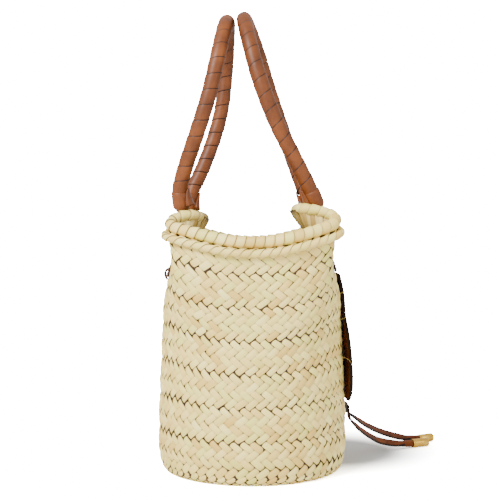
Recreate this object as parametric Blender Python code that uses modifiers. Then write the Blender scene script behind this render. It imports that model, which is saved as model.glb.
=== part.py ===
"""Plaited palm bucket bag: round woven body, rolled saddle rim, two leather-wrapped rope handles,
a leather flap and two flat laces with brass ferrules.

Frame: +X is the front (the flap's side), +Z is up, and the origin is the centre of the base's
underside. Metres throughout.
"""

import math

import bmesh
import bpy
from mathutils import Vector

# Driving dimensions
GAP = 0.0003  # between neighbours that touch
WALL_THICK = 0.004
WALL_FOOT_Z = 0.0118
WALL_PROFILE = (  # height, outer radius of the round body
    (0.0, 0.0985),
    (0.012, 0.1003),
    (0.028, 0.1022),
    (0.060, 0.1020),
    (0.114, 0.1000),
    (0.186, 0.0963),
    (0.290, 0.0955),
)
BASE_FLAT_RADIUS = 0.090
BASE_THICK = 0.004
# Centre of the upper roll from the middle of a side to the middle of the front panel
RIM_QUARTER = (
    (0.0, -0.0960, 0.2500),
    (0.0250, -0.0954, 0.2517),
    (0.0500, -0.0930, 0.2572),
    (0.0800, -0.0800, 0.2665),
    (0.0872, -0.0670, 0.2740),
    (0.0800, -0.0580, 0.2800),
    (0.0650, -0.0532, 0.2835),
    (0.0532, -0.0428, 0.2850),
    (0.0505, -0.0235, 0.2850),
    (0.0500, 0.0, 0.2850),
)
CORNER = 4  # the point of RIM_QUARTER at the panel's corner
BACK_REACH = 0.975  # the back panel's ears reach this share of the front's
BACK_DROP = 0.0045  # and stand this much lower
BACK_FILL = 0.0060  # the back panel's middle pinches in this much less
BACK_DIP = 0.0050  # and dips this much more
PINCH_FROM = 0.62  # share of the height where the panels start to pinch in
PINCH_POWER = 2.2
SHOULDER_FROM, SHOULDER_TO, SHOULDER_POWER = 0.50, 0.88, 3.4
DIP_POWER = 1.3  # how fast the plaited courses take on the rim's dip
UPPER_ROLL_RADIUS = 0.0060
UPPER_CORE_RADIUS = 0.0036
LOWER_ROLL_RADIUS = 0.0043
LOWER_CORE_RADIUS = 0.0023
WRAP_THICK = 0.0014
LOWER_ROLL_T = 0.981
LOWER_ROLL_OFF_WALL = 0.0014
HANDLE_RADIUS = 0.0086
HANDLE_CORE_RADIUS = 0.0060
HANDLE_LEATHER = 0.0015
HANDLE_NECK = 0.0095  # the cover starts this far up the rope, so that the foot can swing over its tab
HANDLE_NECK_RADIUS = 0.0028
TAB_HALF_WIDTH = 0.0115
TAB_TOP_HALF_WIDTH = 0.0082
TAB_OFF_WALL = 0.0022
TAB_OVER_ROLLS = 0.0064
TAB_UNDER_FOOT = 0.0044
TAB_SPLAY = 0.9
SEAM_INSET = 0.0028  # from a leather's edge to its thread
LEATHER = 0.0026
FLAP_LEATHER = 0.0017
FLAP_LINING = 0.0012
FLAP_HALF_WIDTH = 0.026
LACE_WIDTH = 0.0085
LACE_THICK = 0.0026
FERRULE_RADIUS = 0.0050
FERRULE_LENGTH = 0.0220
THREAD_RADIUS = 0.0005
RING_POINTS = 52
ACROSS = (-1.0, -0.5, 0.0, 0.5, 1.0)

# Rope centre lines, from the near leg's foot over the arch to the far leg's foot
FRONT_HANDLE_ROUTE = (
    (0.0700, -0.0372, 0.2865),
    (0.0620, -0.0425, 0.3060),
    (0.0424, -0.0510, 0.3440),
    (0.0232, -0.0560, 0.3820),
    (0.0075, -0.0550, 0.4240),
    (-0.0022, -0.0450, 0.4610),
    (-0.0078, -0.0230, 0.4880),
    (-0.0080, 0.0000, 0.4955),
    (-0.0030, 0.0260, 0.4895),
    (0.0075, 0.0470, 0.4640),
    (0.0195, 0.0560, 0.4260),
    (0.0338, 0.0560, 0.3830),
    (0.0470, 0.0510, 0.3440),
    (0.0605, 0.0420, 0.3060),
    (0.0695, 0.0372, 0.2865),
)
BACK_HANDLE_ROUTE = (
    (-0.0748, -0.0372, 0.2840),
    (-0.0770, -0.0410, 0.3060),
    (-0.0706, -0.0460, 0.3310),
    (-0.0572, -0.0550, 0.3690),
    (-0.0454, -0.0560, 0.4070),
    (-0.0365, -0.0510, 0.4460),
    (-0.0300, -0.0300, 0.4800),
    (-0.0272, 0.0000, 0.4925),
    (-0.0278, 0.0320, 0.4815),
    (-0.0300, 0.0520, 0.4500),
    (-0.0345, 0.0560, 0.4070),
    (-0.0430, 0.0550, 0.3720),
    (-0.0562, 0.0480, 0.3350),
    (-0.0690, 0.0415, 0.3060),
    (-0.0740, 0.0372, 0.2840),
)
# Outer face of the flap at its near edge, from its sewn top to its rounded end: (x, z)
FLAP_ROUTE = (
    (0.0930, 0.2150),
    (0.0945, 0.2020),
    (0.0985, 0.1850),
    (0.1056, 0.1520),
    (0.1088, 0.1260),
    (0.1101, 0.0980),
    (0.1092, 0.0820),
    (0.1070, 0.0740),
)
FLAP_ROUND_FROM = 0.80  # share of the flap's length where its round end begins
FLAP_TWIST = 0.0100  # how much nearer the wall its far edge hangs
FLAP_OFF_WALL = 0.0022
NEAR_LACE_ROUTE = (
    (0.1068, 0.0010, 0.0670),
    (0.1075, 0.0050, 0.0600),
    (0.1090, 0.0130, 0.0530),
    (0.1130, 0.0250, 0.0460),
    (0.1240, 0.0400, 0.0345),
    (0.1350, 0.0550, 0.0250),
    (0.1470, 0.0700, 0.0165),
    (0.1600, 0.0830, 0.0110),
    (0.1730, 0.0940, 0.0075),
    (0.1845, 0.1020, 0.0058),
    (0.1925, 0.1060, 0.0054),
)
FAR_LACE_ROUTE = (
    (0.1065, 0.0125, 0.0670),
    (0.1072, 0.0170, 0.0625),
    (0.1095, 0.0260, 0.0560),
    (0.1180, 0.0400, 0.0480),
    (0.1270, 0.0560, 0.0400),
    (0.1390, 0.0740, 0.0310),
    (0.1560, 0.0950, 0.0210),
    (0.1740, 0.1130, 0.0130),
    (0.1900, 0.1260, 0.0080),
    (0.2000, 0.1325, 0.0060),
    (0.2040, 0.1350, 0.0056),
)
BACK_LOOP_T = (0.765, 0.815)

PALM = ("palm_strip", (0.80, 0.74, 0.56), 0.62, 0.0)
CORE = ("rope_core", (0.66, 0.57, 0.38), 0.85, 0.0)
TAN = ("tan_leather", (0.38, 0.14, 0.045), 0.45, 0.0)
DARK = ("dark_leather", (0.05, 0.028, 0.018), 0.5, 0.0)
THREAD = ("waxed_thread", (0.20, 0.08, 0.03), 0.7, 0.0)
BRASS = ("satin_brass", (0.79, 0.58, 0.25), 0.28, 1.0)


def clear_scene():
    for obj in list(bpy.data.objects):
        bpy.data.objects.remove(obj, do_unlink=True)


def make_material(finish):
    name, colour, roughness, metallic = finish
    material = bpy.data.materials.get(name) or bpy.data.materials.new(name)
    material.use_nodes = True
    shader = material.node_tree.nodes["Principled BSDF"]
    shader.inputs["Base Color"].default_value = (*colour, 1.0)
    shader.inputs["Roughness"].default_value = roughness
    shader.inputs["Metallic"].default_value = metallic
    return material


def link(obj, finish):
    obj.data.materials.clear()
    obj.data.materials.append(make_material(finish))
    bpy.data.collections["bucket_bag"].objects.link(obj)
    return obj


# Curves and sections

def lerp_table(table, at):
    for (a, low), (b, high) in zip(table, table[1:]):
        if at <= b:
            return low + (high - low) * max(0.0, (at - a) / (b - a))
    return table[-1][1]


def smooth_line(points, per_span, closed=False):
    """Catmull-Rom curve through the points."""
    points = [Vector(p) for p in points]
    count = len(points)
    spans = count if closed else count - 1
    line = []
    for i in range(spans):
        if closed:
            a, b, c, d = (points[(i + k) % count] for k in (-1, 0, 1, 2))
        else:
            a, b = points[max(i - 1, 0)], points[i]
            c, d = points[i + 1], points[min(i + 2, count - 1)]
        for k in range(per_span):
            s = k / per_span
            line.append(
                0.5
                * (
                    2 * b
                    + (c - a) * s
                    + (2 * a - 5 * b + 4 * c - d) * s * s
                    + (3 * b - a - 3 * c + d) * s**3
                )
            )
    return line if closed else line + [points[-1]]


def evenly(line, count):
    """The open line again, as count points an equal length apart."""
    lengths = [0.0]
    for a, b in zip(line, line[1:]):
        lengths.append(lengths[-1] + (b - a).length)
    out, j = [], 0
    for i in range(count):
        goal = lengths[-1] * i / (count - 1)
        while j < len(line) - 2 and lengths[j + 1] < goal:
            j += 1
        span = lengths[j + 1] - lengths[j]
        out.append(line[j].lerp(line[j + 1], (goal - lengths[j]) / span if span else 0.0))
    return out


def rim_ring(count=240):
    """The upper roll's centre line: the near side's middle, the front, the far side, the back."""
    quarter = [Vector(p) for p in RIM_QUARTER]
    front = quarter + [Vector((p.x, -p.y, p.z)) for p in quarter[-2::-1]]
    corner, middle = quarter[CORNER], quarter[-1]

    def back(p):
        raised = max(0.0, min(1.0, (p.z - corner.z + 0.012) / 0.012))
        inner = raised * max(0.0, (corner.x - p.x) / (corner.x - middle.x))
        x = p.x * BACK_REACH + BACK_FILL * inner
        return Vector((-x, p.y, p.z - BACK_DROP * raised - BACK_DIP * inner**3))

    ring = front + [back(p) for p in front[-2:0:-1]]
    per_span = 12
    line = smooth_line(ring, per_span, closed=True)
    step = (len(RIM_QUARTER) - 1) * per_span
    line.append(line[0])
    out = []
    for q in range(4):
        out += evenly(line[q * step : (q + 1) * step + 1], count // 4 + 1)[:-1]
    return out


RIM = rim_ring()


def rim_at(u):
    at = (u % 1.0) * len(RIM)
    i = int(at)
    return RIM[i].lerp(RIM[(i + 1) % len(RIM)], at - i)


def ramp(value, low, high):
    x = max(0.0, min(1.0, (value - low) / (high - low)))
    return x * x * (3 - 2 * x)


def wall_at(u, t):
    """Point on the wall's mid surface: u is the share of the way round, t of the way up."""
    rim = rim_at(u)
    top = rim.z - UPPER_ROLL_RADIUS - 4 * GAP
    mean_top = RIM[0].z - UPPER_ROLL_RADIUS
    z = WALL_FOOT_Z + (mean_top - WALL_FOOT_Z) * t + (top - mean_top) * t**DIP_POWER
    radius = lerp_table(WALL_PROFILE, z) - WALL_THICK / 2
    angle = 2 * math.pi * u - math.pi / 2
    power = 2 / (2 + (SHOULDER_POWER - 2) * ramp(t, SHOULDER_FROM, SHOULDER_TO))
    c, s = math.cos(angle), math.sin(angle)
    body = Vector((math.copysign(abs(c) ** power, c), math.copysign(abs(s) ** power, s))) * radius
    pinch = max(0.0, (t - PINCH_FROM) / (1 - PINCH_FROM)) ** PINCH_POWER
    plan = body.lerp(rim.xy, pinch)
    return Vector((plan.x, plan.y, z))


def outward(u, t):
    """The wall's outward normal in plan."""
    along = wall_at(u + 0.004, t) - wall_at(u - 0.004, t)
    return Vector((along.y, -along.x, 0.0)).normalized()


def wall_normal(u, t):
    """The wall's outward normal, which leans up where a panel slants in."""
    low, high = min(t, 0.97), min(t, 0.97) + 0.03
    along = wall_at(u + 0.004, t) - wall_at(u - 0.004, t)
    return along.cross(wall_at(u, high) - wall_at(u, low)).normalized()


def off_wall(u, t, distance):
    return wall_at(u, t) + wall_normal(u, t) * distance


def across_wall(u, t, distance, half):
    """Five points across a strap of this half width that lies at a distance off the wall."""
    along = (wall_at(u + 0.004, t) - wall_at(u - 0.004, t)).length / 0.008
    return [off_wall(u + s * half / along, t, distance) for s in ACROSS]


def share_nearest(point, t):
    """The u at which the wall is nearest to a point."""
    place = Vector(point)
    return min(
        (i / 720 for i in range(720)), key=lambda u: (wall_at(u, t).xy - place.xy).length
    )


def share_below(foot, t):
    """The u at which a strap that runs down from a leg's foot crosses level t, splaying a little."""
    goal = foot.y * (1.0 + TAB_SPLAY * (1.0 - t))
    middle = 0.25 if foot.x > 0 else 0.75
    return min(
        (middle + i / 1440 for i in range(-200, 201)), key=lambda u: abs(wall_at(u, t).y - goal)
    )


# Makers

def grid_object(name, rows, finish, closed=False):
    """An open surface through rows of points."""
    bm = bmesh.new()
    verts = [[bm.verts.new(p) for p in row] for row in rows]
    columns = len(rows[0])
    for low, high in zip(verts, verts[1:]):
        for j in range(columns if closed else columns - 1):
            k = (j + 1) % columns
            bm.faces.new((low[j], low[k], high[k], high[j]))
    mesh = bpy.data.meshes.new(name)
    bm.to_mesh(mesh)
    bm.free()
    return link(bpy.data.objects.new(name, mesh), finish)


def thicken(obj, thickness, offset=0.0):
    """Gives an open surface its thickness; offset -1 adds it behind the faces."""
    solidify = obj.modifiers.new("thickness", "SOLIDIFY")
    solidify.thickness = thickness
    solidify.offset = offset
    solidify.use_even_offset = True
    return obj


def tube(name, points, radius, finish, resolution=2, cyclic=False, caps=True, shares=None):
    """A round tube; shares gives each point's part of the radius."""
    curve = bpy.data.curves.new(name, "CURVE")
    curve.dimensions = "3D"
    spline = curve.splines.new("POLY")
    spline.points.add(len(points) - 1)
    for slot, p, share in zip(spline.points, points, shares or [1.0] * len(points)):
        slot.co = (*p, 1.0)
        slot.radius = share
    spline.use_cyclic_u = cyclic
    curve.bevel_depth = radius
    curve.bevel_resolution = resolution
    curve.use_fill_caps = caps and not cyclic
    return link(bpy.data.objects.new(name, curve), finish)


def meshed(obj):
    """The curve's surface as a mesh object of the same name."""
    graph = bpy.context.evaluated_depsgraph_get()
    mesh = bpy.data.meshes.new_from_object(obj.evaluated_get(graph))
    bm = bmesh.new()
    bm.from_mesh(mesh)
    bmesh.ops.remove_doubles(bm, verts=bm.verts, dist=1e-5)
    bm.to_mesh(mesh)
    bm.free()
    name, place = obj.name, obj.matrix_world.copy()
    bpy.data.objects.remove(obj, do_unlink=True)
    made = bpy.data.objects.new(name, mesh)
    made.matrix_world = place
    bpy.data.collections["bucket_bag"].objects.link(made)
    return made


def ribbon(name, points, sides, width, thickness, finish):
    """A flat strap along the points, whose width runs along the sides' directions."""
    rows = [[p - s * width / 2, p + s * width / 2] for p, s in zip(points, sides)]
    return thicken(grid_object(name, rows, finish), thickness)


# Sub-parts

def make_wall():
    levels = 11
    rows = [
        [wall_at(i / RING_POINTS, k / (levels - 1)) for i in range(RING_POINTS)]
        for k in range(levels)
    ]
    thicken(grid_object("basket_wall", rows, PALM, closed=True), WALL_THICK)


def make_base():
    """A shallow coiled dish: a turned profile that runs down its outer side."""
    rim_z = WALL_FOOT_Z - GAP
    outer = lerp_table(WALL_PROFILE, rim_z)
    fillet = 0.0095
    profile = [(outer - BASE_THICK, rim_z), (outer, rim_z)]
    for k in range(5):
        a = math.pi / 2 * k / 4
        profile.append(
            (
                BASE_FLAT_RADIUS + (outer - 0.0003 - BASE_FLAT_RADIUS) * math.cos(a),
                fillet * (1 - math.sin(a)),
            )
        )
    profile += [(0.0, 0.0), (0.0, BASE_THICK), (BASE_FLAT_RADIUS - 0.001, BASE_THICK)]
    bm = bmesh.new()
    verts = [bm.verts.new((x, 0.0, z)) for x, z in profile]
    for a, b in zip(verts, verts[1:] + verts[:1]):
        if not (a.co.x == 0.0 and b.co.x == 0.0):
            bm.edges.new((a, b))
    mesh = bpy.data.meshes.new("basket_base")
    bm.to_mesh(mesh)
    bm.free()
    base = link(bpy.data.objects.new("basket_base", mesh), PALM)
    turn = base.modifiers.new("turn", "SCREW")
    turn.steps = turn.render_steps = 48
    turn.use_merge_vertices = True
    turn.merge_threshold = 0.0001
    turn.use_smooth_shade = True


def make_roll(name, line, radius, core_radius):
    """A straw core in a strip wrap, whose seam stays open against the wall."""
    tube(name + "_core", line, core_radius, CORE, resolution=1, cyclic=True)
    shell = radius - WRAP_THICK
    half_open = math.radians(28)
    sides = 7
    rows = []
    for i, p in enumerate(line):
        along = (line[(i + 1) % len(line)] - line[i - 1]).normalized()
        across = along.cross(Vector((0, 0, 1))).normalized()
        up = across.cross(along).normalized()
        row = []
        for k in range(sides):
            a = -math.pi / 2 + half_open + (2 * math.pi - 2 * half_open) * k / (sides - 1)
            row.append(p + (across * math.cos(a) + up * math.sin(a)) * shell)
        rows.append(row)
    wrap = grid_object(name + "_wrap", rows + rows[:1], PALM)
    bm = bmesh.new()
    bm.from_mesh(wrap.data)
    bmesh.ops.remove_doubles(bm, verts=bm.verts, dist=1e-6)
    bmesh.ops.recalc_face_normals(bm, faces=bm.faces)
    bm.to_mesh(wrap.data)
    bm.free()
    thicken(wrap, WRAP_THICK, offset=1.0)


def make_rim():
    upper = [rim_at(i / RING_POINTS) for i in range(RING_POINTS)]
    make_roll("rim_upper", upper, UPPER_ROLL_RADIUS, UPPER_CORE_RADIUS)
    away = WALL_THICK / 2 + LOWER_ROLL_RADIUS + LOWER_ROLL_OFF_WALL
    lower = [off_wall(i / RING_POINTS, LOWER_ROLL_T, away) for i in range(RING_POINTS)]
    make_roll("rim_lower", lower, LOWER_ROLL_RADIUS, LOWER_CORE_RADIUS)


def make_handle(name, route):
    """A rope core in a leather tube, open at the feet, and a sewn tab under each foot."""
    fine = evenly(smooth_line(route, 8), 401)
    cut = round(HANDLE_NECK / (fine[1] - fine[0]).length)
    line = evenly(fine[cut:-cut], 38)
    neck = HANDLE_NECK_RADIUS / HANDLE_CORE_RADIUS
    shares = [neck, neck] + [1.0] * (len(line) - 2) + [neck, neck]
    rope = [fine[0], *line, fine[-1]]
    tube(name + "_core", rope, HANDLE_CORE_RADIUS, CORE, resolution=2, shares=shares)
    shell = tube(name + "_cover", line, HANDLE_RADIUS, TAN, resolution=2, caps=False)
    thicken(meshed(shell), HANDLE_LEATHER, offset=-1.0)
    for side, foot in (("near", route[0]), ("far", route[-1])):
        make_tab(f"{name}_{side}_tab", Vector(foot))


def make_tab(name, foot):
    """A leather tab from under the leg's foot, over the rolls, and down on to the wall."""
    over_rolls = WALL_THICK / 2 + 2 * LOWER_ROLL_RADIUS + LEATHER / 2 + TAB_OVER_ROLLS
    on_wall = WALL_THICK / 2 + LEATHER / 2 + TAB_OFF_WALL
    levels = (  # level, distance off the wall, share of the half width
        (0.78, on_wall, 1.0),
        (0.83, on_wall, 1.0),
        (0.88, on_wall, 1.0),
        (0.915, (on_wall + over_rolls) / 2, 0.90),
        (0.950, over_rolls, 0.75),
    )
    rows = [
        across_wall(share_below(foot, t), t, distance, TAB_HALF_WIDTH * share)
        for t, distance, share in levels
    ]
    out = outward(share_below(foot, 1.0), 1.0)
    side = Vector((-out.y, out.x, 0.0))
    top = foot - Vector((0.0, 0.0, TAB_UNDER_FOOT))
    rows.append([top + side * s * TAB_TOP_HALF_WIDTH for s in ACROSS])
    thicken(grid_object(name, rows, TAN), LEATHER)
    make_tab_thread(name + "_thread", foot, on_wall)


def make_tab_thread(name, foot, on_wall):
    """One saddle-stitched run round the tab's foot."""
    lift = on_wall + LEATHER / 2 + THREAD_RADIUS + 4 * GAP
    inset = TAB_HALF_WIDTH - SEAM_INSET
    down = [across_wall(share_below(foot, t), t, lift, inset) for t in (0.875, 0.835, 0.795)]
    bottom = across_wall(share_below(foot, 0.79), 0.79, lift, inset)[1:-1]
    line = [row[0] for row in down] + bottom + [row[-1] for row in reversed(down)]
    tube(name, line, THREAD_RADIUS, THREAD, resolution=0)


def front_of_wall(y, z):
    """How far forward the front panel's outer face is at a place."""
    low, high = 0.0, 1.0
    for _ in range(20):
        t = (low + high) / 2
        low, high = (t, high) if wall_at(0.25, t).z < z else (low, t)
    along = (wall_at(0.254, t) - wall_at(0.246, t)).length / 0.008
    return off_wall(0.25 + y / along, t, WALL_THICK / 2).x


def flap_rows(depth, count=13, inset=0.0):
    """Rows across the flap at a depth behind its outer face, narrowing to a round end.

    The flap hangs a little twisted: its near edge stands off and its far edge lies on the wall.
    """
    behind = FLAP_LEATHER + GAP + FLAP_LINING + FLAP_OFF_WALL
    line = evenly(smooth_line([(x, 0.0, z) for x, z in FLAP_ROUTE], 8), count)
    rows = []
    for i, p in enumerate(line):
        along = line[min(i + 1, count - 1)] - line[max(i - 1, 0)]
        inward = Vector((along.z, 0.0, -along.x)).normalized()
        s = i / (count - 1)
        narrow = max(0.0, (s - FLAP_ROUND_FROM) / (1 - FLAP_ROUND_FROM))
        widening = 0.88 + 0.12 * ramp(s, 0.0, 0.5)
        half = FLAP_HALF_WIDTH * widening * math.sqrt(1 - 0.90 * narrow**2) - inset
        twist = FLAP_TWIST * ramp(s, 0.05, 0.45)
        row = []
        for y in ACROSS:
            x = max(p.x - twist * (y + 1) / 2, front_of_wall(y * half, p.z) + behind)
            row.append(Vector((x, y * half, p.z)) + inward * depth)
        rows.append(row)
    return rows


def make_flap():
    outer = grid_object("flap_leather", flap_rows(FLAP_LEATHER / 2), TAN)
    thicken(outer, FLAP_LEATHER)
    lining_depth = FLAP_LEATHER + GAP + FLAP_LINING / 2
    thicken(grid_object("flap_lining", flap_rows(lining_depth), TAN), FLAP_LINING)
    rows = flap_rows(-THREAD_RADIUS - 2 * GAP, inset=0.003)[:-1]
    loop = [row[0] for row in rows] + [rows[-1][2]] + [row[-1] for row in reversed(rows)]
    tube("flap_thread", loop, THREAD_RADIUS, THREAD, resolution=0)


def make_lace(name, route):
    line = evenly(smooth_line(route, 8), 20)
    sides = []
    for i, p in enumerate(line):
        along = (line[min(i + 1, 19)] - line[max(i - 1, 0)]).normalized()
        floor_side = along.cross(Vector((0, 0, 1))).normalized()
        if floor_side.y < 0:
            floor_side.negate()
        wall_side = (Vector((0, 1, 0)) - along * along.y).normalized()
        turn = ramp(i / 19, 0.0, 0.35)
        mixed = wall_side.lerp(floor_side, turn)
        sides.append((mixed - along * mixed.dot(along)).normalized())
    ribbon(name, line, sides, LACE_WIDTH, LACE_THICK, DARK)
    along = (line[-1] - line[-2]).normalized()
    start = line[-1] + along * (GAP + LACE_THICK * 0.2)
    along = Vector((along.x, along.y, 0.0)).normalized()
    end = start + along * FERRULE_LENGTH
    for p in (start, end):
        p.z = FERRULE_RADIUS + 0.0002
    bpy.ops.mesh.primitive_cylinder_add(vertices=20, radius=FERRULE_RADIUS, depth=FERRULE_LENGTH)
    ferrule = bpy.context.object
    ferrule.name = ferrule.data.name = name.replace("lace", "ferrule")
    ferrule.rotation_mode = "QUATERNION"
    ferrule.rotation_quaternion = along.to_track_quat("Z", "Y")
    ferrule.location = (start + end) / 2
    for owner in list(ferrule.users_collection):
        owner.objects.unlink(ferrule)
    link(ferrule, BRASS)
    chamfer = ferrule.modifiers.new("chamfer", "BEVEL")
    chamfer.width = 0.0006
    chamfer.segments = 1


def make_lace_keeper():
    """The sewn leather keeper on the wall, under the flap's end, that both laces leave."""
    u = share_nearest((0.1, 0.007, 0.0), 0.2)
    distance = WALL_THICK / 2 + 0.0011 + GAP
    rows = [across_wall(u, t, distance, 0.013) for t in (0.195, 0.215, 0.236)]
    thicken(grid_object("lace_keeper", rows, DARK), 0.0022)


def make_back_loop():
    """A small dark leather loop that stands off the back wall."""
    low, high = BACK_LOOP_T
    u = share_nearest((-0.1, 0.0, 0.0), low)
    line = []
    for k in range(9):
        s = k / 8
        stand_off = 0.0035 + 0.0048 * math.sin(math.pi * s) ** 0.8
        line.append(off_wall(u, low + (high - low) * s, WALL_THICK / 2 + stand_off - 0.0012))
    ribbon("back_loop", line, [Vector((0, 1, 0))] * 9, 0.006, 0.0016, DARK)
    foot = line[0] + Vector((-0.0004, 0, -0.0022))
    stitch = [foot + Vector((0, y, 0)) for y in (-0.004, 0.0, 0.004)]
    tube("back_loop_thread", stitch, THREAD_RADIUS, THREAD, resolution=0)


def main():
    clear_scene()
    bag = bpy.data.collections.new("bucket_bag")
    bpy.context.scene.collection.children.link(bag)
    make_wall()
    make_base()
    make_rim()
    make_handle("front_handle", FRONT_HANDLE_ROUTE)
    make_handle("back_handle", BACK_HANDLE_ROUTE)
    make_flap()
    make_lace_keeper()
    make_lace("near_lace", NEAR_LACE_ROUTE)
    make_lace("far_lace", FAR_LACE_ROUTE)
    make_back_loop()


main()
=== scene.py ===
"""Looks of the plaited palm bucket bag.

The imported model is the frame: it gives the bodies, the joints and the room that each piece has.
Over it this script lays what the eye sees: the plaited palm strips of the wall and base, the
wound rolls of the rim, the leather-wound rope handles with their sewn tabs, a few loose fibres, the
flap, and the flat laces with their brass ferrules. Metres, +Z up, +X to the front.
"""

from __future__ import annotations

import logging
import math
from dataclasses import dataclass, field
from enum import Enum
from typing import Sequence

import bpy
import numpy as np
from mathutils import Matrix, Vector

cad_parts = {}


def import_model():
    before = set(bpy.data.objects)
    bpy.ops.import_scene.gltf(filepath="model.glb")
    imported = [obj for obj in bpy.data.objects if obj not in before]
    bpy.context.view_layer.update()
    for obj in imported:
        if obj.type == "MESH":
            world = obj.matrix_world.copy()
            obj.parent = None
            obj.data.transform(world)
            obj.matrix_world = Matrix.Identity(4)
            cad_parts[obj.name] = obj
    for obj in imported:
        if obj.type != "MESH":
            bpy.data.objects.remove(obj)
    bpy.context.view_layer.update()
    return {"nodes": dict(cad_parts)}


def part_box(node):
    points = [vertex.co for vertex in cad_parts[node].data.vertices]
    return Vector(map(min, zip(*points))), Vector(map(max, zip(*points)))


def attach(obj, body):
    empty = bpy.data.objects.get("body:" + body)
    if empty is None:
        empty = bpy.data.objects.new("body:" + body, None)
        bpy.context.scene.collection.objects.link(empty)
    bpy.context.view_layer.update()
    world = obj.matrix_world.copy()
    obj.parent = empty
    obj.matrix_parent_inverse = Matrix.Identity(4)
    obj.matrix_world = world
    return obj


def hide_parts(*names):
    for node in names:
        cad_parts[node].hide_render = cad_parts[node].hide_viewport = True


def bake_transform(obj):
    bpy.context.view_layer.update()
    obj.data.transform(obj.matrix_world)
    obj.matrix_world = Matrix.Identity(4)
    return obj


LOG = logging.getLogger("bucket_bag")
UP = np.array([0.0, 0.0, 1.0])
GAP = 0.0003  # the small clearance between pieces that lie together
STRAP_AROUND = 16  # points round the section of a lace or a strap
STRAP_POWERS = (0.35, 0.6)  # how square that section is, across and through


class Body(str, Enum):
    """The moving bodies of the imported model."""

    BASKET = "basket"
    FRONT_HANDLE = "front_handle"
    BACK_HANDLE = "back_handle"
    FLAP = "flap"


class Slot(str, Enum):
    """The record's material slots."""

    PALM = "palm"
    TAN = "tan_leather"
    DARK = "dark_leather"
    THREAD = "thread"
    BRASS = "brass"


# Curves


def smooth_line(points: Sequence[Sequence[float]], per_span: int = 10, closed: bool = False) -> np.ndarray:
    """A Catmull-Rom curve through some points.

    Args:
        points: The points that the curve goes through.
        per_span: How many steps there are between two points.
        closed: Whether the curve goes back to its start.

    Returns:
        The curve's points, without a repeated last one if it is closed.
    """
    p = np.asarray(points, float)
    n = len(p)
    spans = n if closed else n - 1
    out = []
    for i in range(spans):
        if closed:
            a, b, c, d = (p[(i + k) % n] for k in (-1, 0, 1, 2))
        else:
            a, b, c, d = p[max(i - 1, 0)], p[i], p[i + 1], p[min(i + 2, n - 1)]
        s = (np.arange(per_span) / per_span)[:, None]
        out.append(
            0.5 * (2 * b + (c - a) * s + (2 * a - 5 * b + 4 * c - d) * s**2 + (3 * b - a - 3 * c + d) * s**3)
        )
    line = np.concatenate(out)
    return line if closed else np.vstack([line, p[-1:]])


def lengths_of(line: np.ndarray) -> np.ndarray:
    """The distance along an open line at each of its points."""
    return np.concatenate([[0.0], np.cumsum(np.linalg.norm(np.diff(line, axis=0), axis=1))])


def sample(line: np.ndarray, along: np.ndarray, at: np.ndarray | float) -> np.ndarray:
    """A line's values at some distances along it, given the distance of each of its points."""
    return np.stack([np.interp(at, along, line[:, k]) for k in range(line.shape[1])], axis=-1)


def evenly(line: np.ndarray, count: int) -> np.ndarray:
    """An open line again, as count points an equal distance apart."""
    along = lengths_of(line)
    return sample(line, along, np.linspace(0, along[-1], count))


def unit(v: np.ndarray) -> np.ndarray:
    """Vectors scaled to length 1, along the last axis."""
    return v / np.maximum(np.linalg.norm(v, axis=-1, keepdims=True), 1e-12)


def ramp(x: np.ndarray | float, low: float, high: float) -> np.ndarray | float:
    """A smooth step from 0 at low to 1 at high."""
    s = np.clip((x - low) / (high - low), 0, 1)
    return s * s * (3 - 2 * s)


def flat_section(a: np.ndarray, across: float | np.ndarray, through: float | np.ndarray) -> np.ndarray:
    """A squared-off unit circle at some angles: the lower its two powers, the squarer it is."""
    c, s = np.cos(a), np.sin(a)
    return np.stack([np.sign(c) * np.abs(c) ** across, np.sign(s) * np.abs(s) ** through], -1)


# Meshes


def mesh_object(
    name: str,
    verts: np.ndarray,
    faces: Sequence[Sequence[int]] | np.ndarray,
    material: bpy.types.Material,
    attributes: dict[str, np.ndarray] | None = None,
    outward: bool = True,
) -> bpy.types.Object:
    """A mesh object in the row frame.

    Args:
        name: The piece's name.
        verts: Its points.
        faces: Its faces, as lists of point numbers.
        material: Its finish.
        attributes: Values at each point, one number or three numbers each.
        outward: Whether to turn a closed mesh's faces outwards.

    Returns:
        The linked object.
    """
    faces = [list(map(int, f)) for f in faces]
    if outward:
        volume = sum(
            float(np.dot(verts[f[0]], np.cross(verts[f[i]], verts[f[i + 1]])))
            for f in faces
            for i in range(1, len(f) - 1)
        )
        if volume < 0:
            faces = [f[::-1] for f in faces]
    mesh = bpy.data.meshes.new(name)
    mesh.from_pydata(verts.tolist(), [], faces)
    mesh.materials.append(material)
    for key, values in (attributes or {}).items():
        kind = "FLOAT" if values.ndim == 1 else "FLOAT_VECTOR"
        slot = mesh.attributes.new(key, kind, "POINT")
        slot.data.foreach_set("value" if kind == "FLOAT" else "vector", values.astype(np.float32).ravel())
    mesh.shade_smooth()
    obj = bpy.data.objects.new(name, mesh)
    bpy.context.scene.collection.objects.link(obj)
    return obj


def skin_faces(rows: int, columns: int, closed: bool = False) -> list[list[int]]:
    """Faces of a tube of rings, each of the same number of points.

    Args:
        rows: How many rings.
        columns: How many points in a ring.
        closed: Whether the last ring joins the first. If not, both ends are filled.

    Returns:
        The faces.
    """
    faces = []
    for i in range(rows if closed else rows - 1):
        low, high = i * columns, ((i + 1) % rows) * columns
        for j in range(columns):
            k = (j + 1) % columns
            faces.append([low + j, low + k, high + k, high + j])
    if not closed:
        faces.append(list(range(columns))[::-1])
        faces.append([(rows - 1) * columns + j for j in range(columns)])
    return faces


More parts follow.
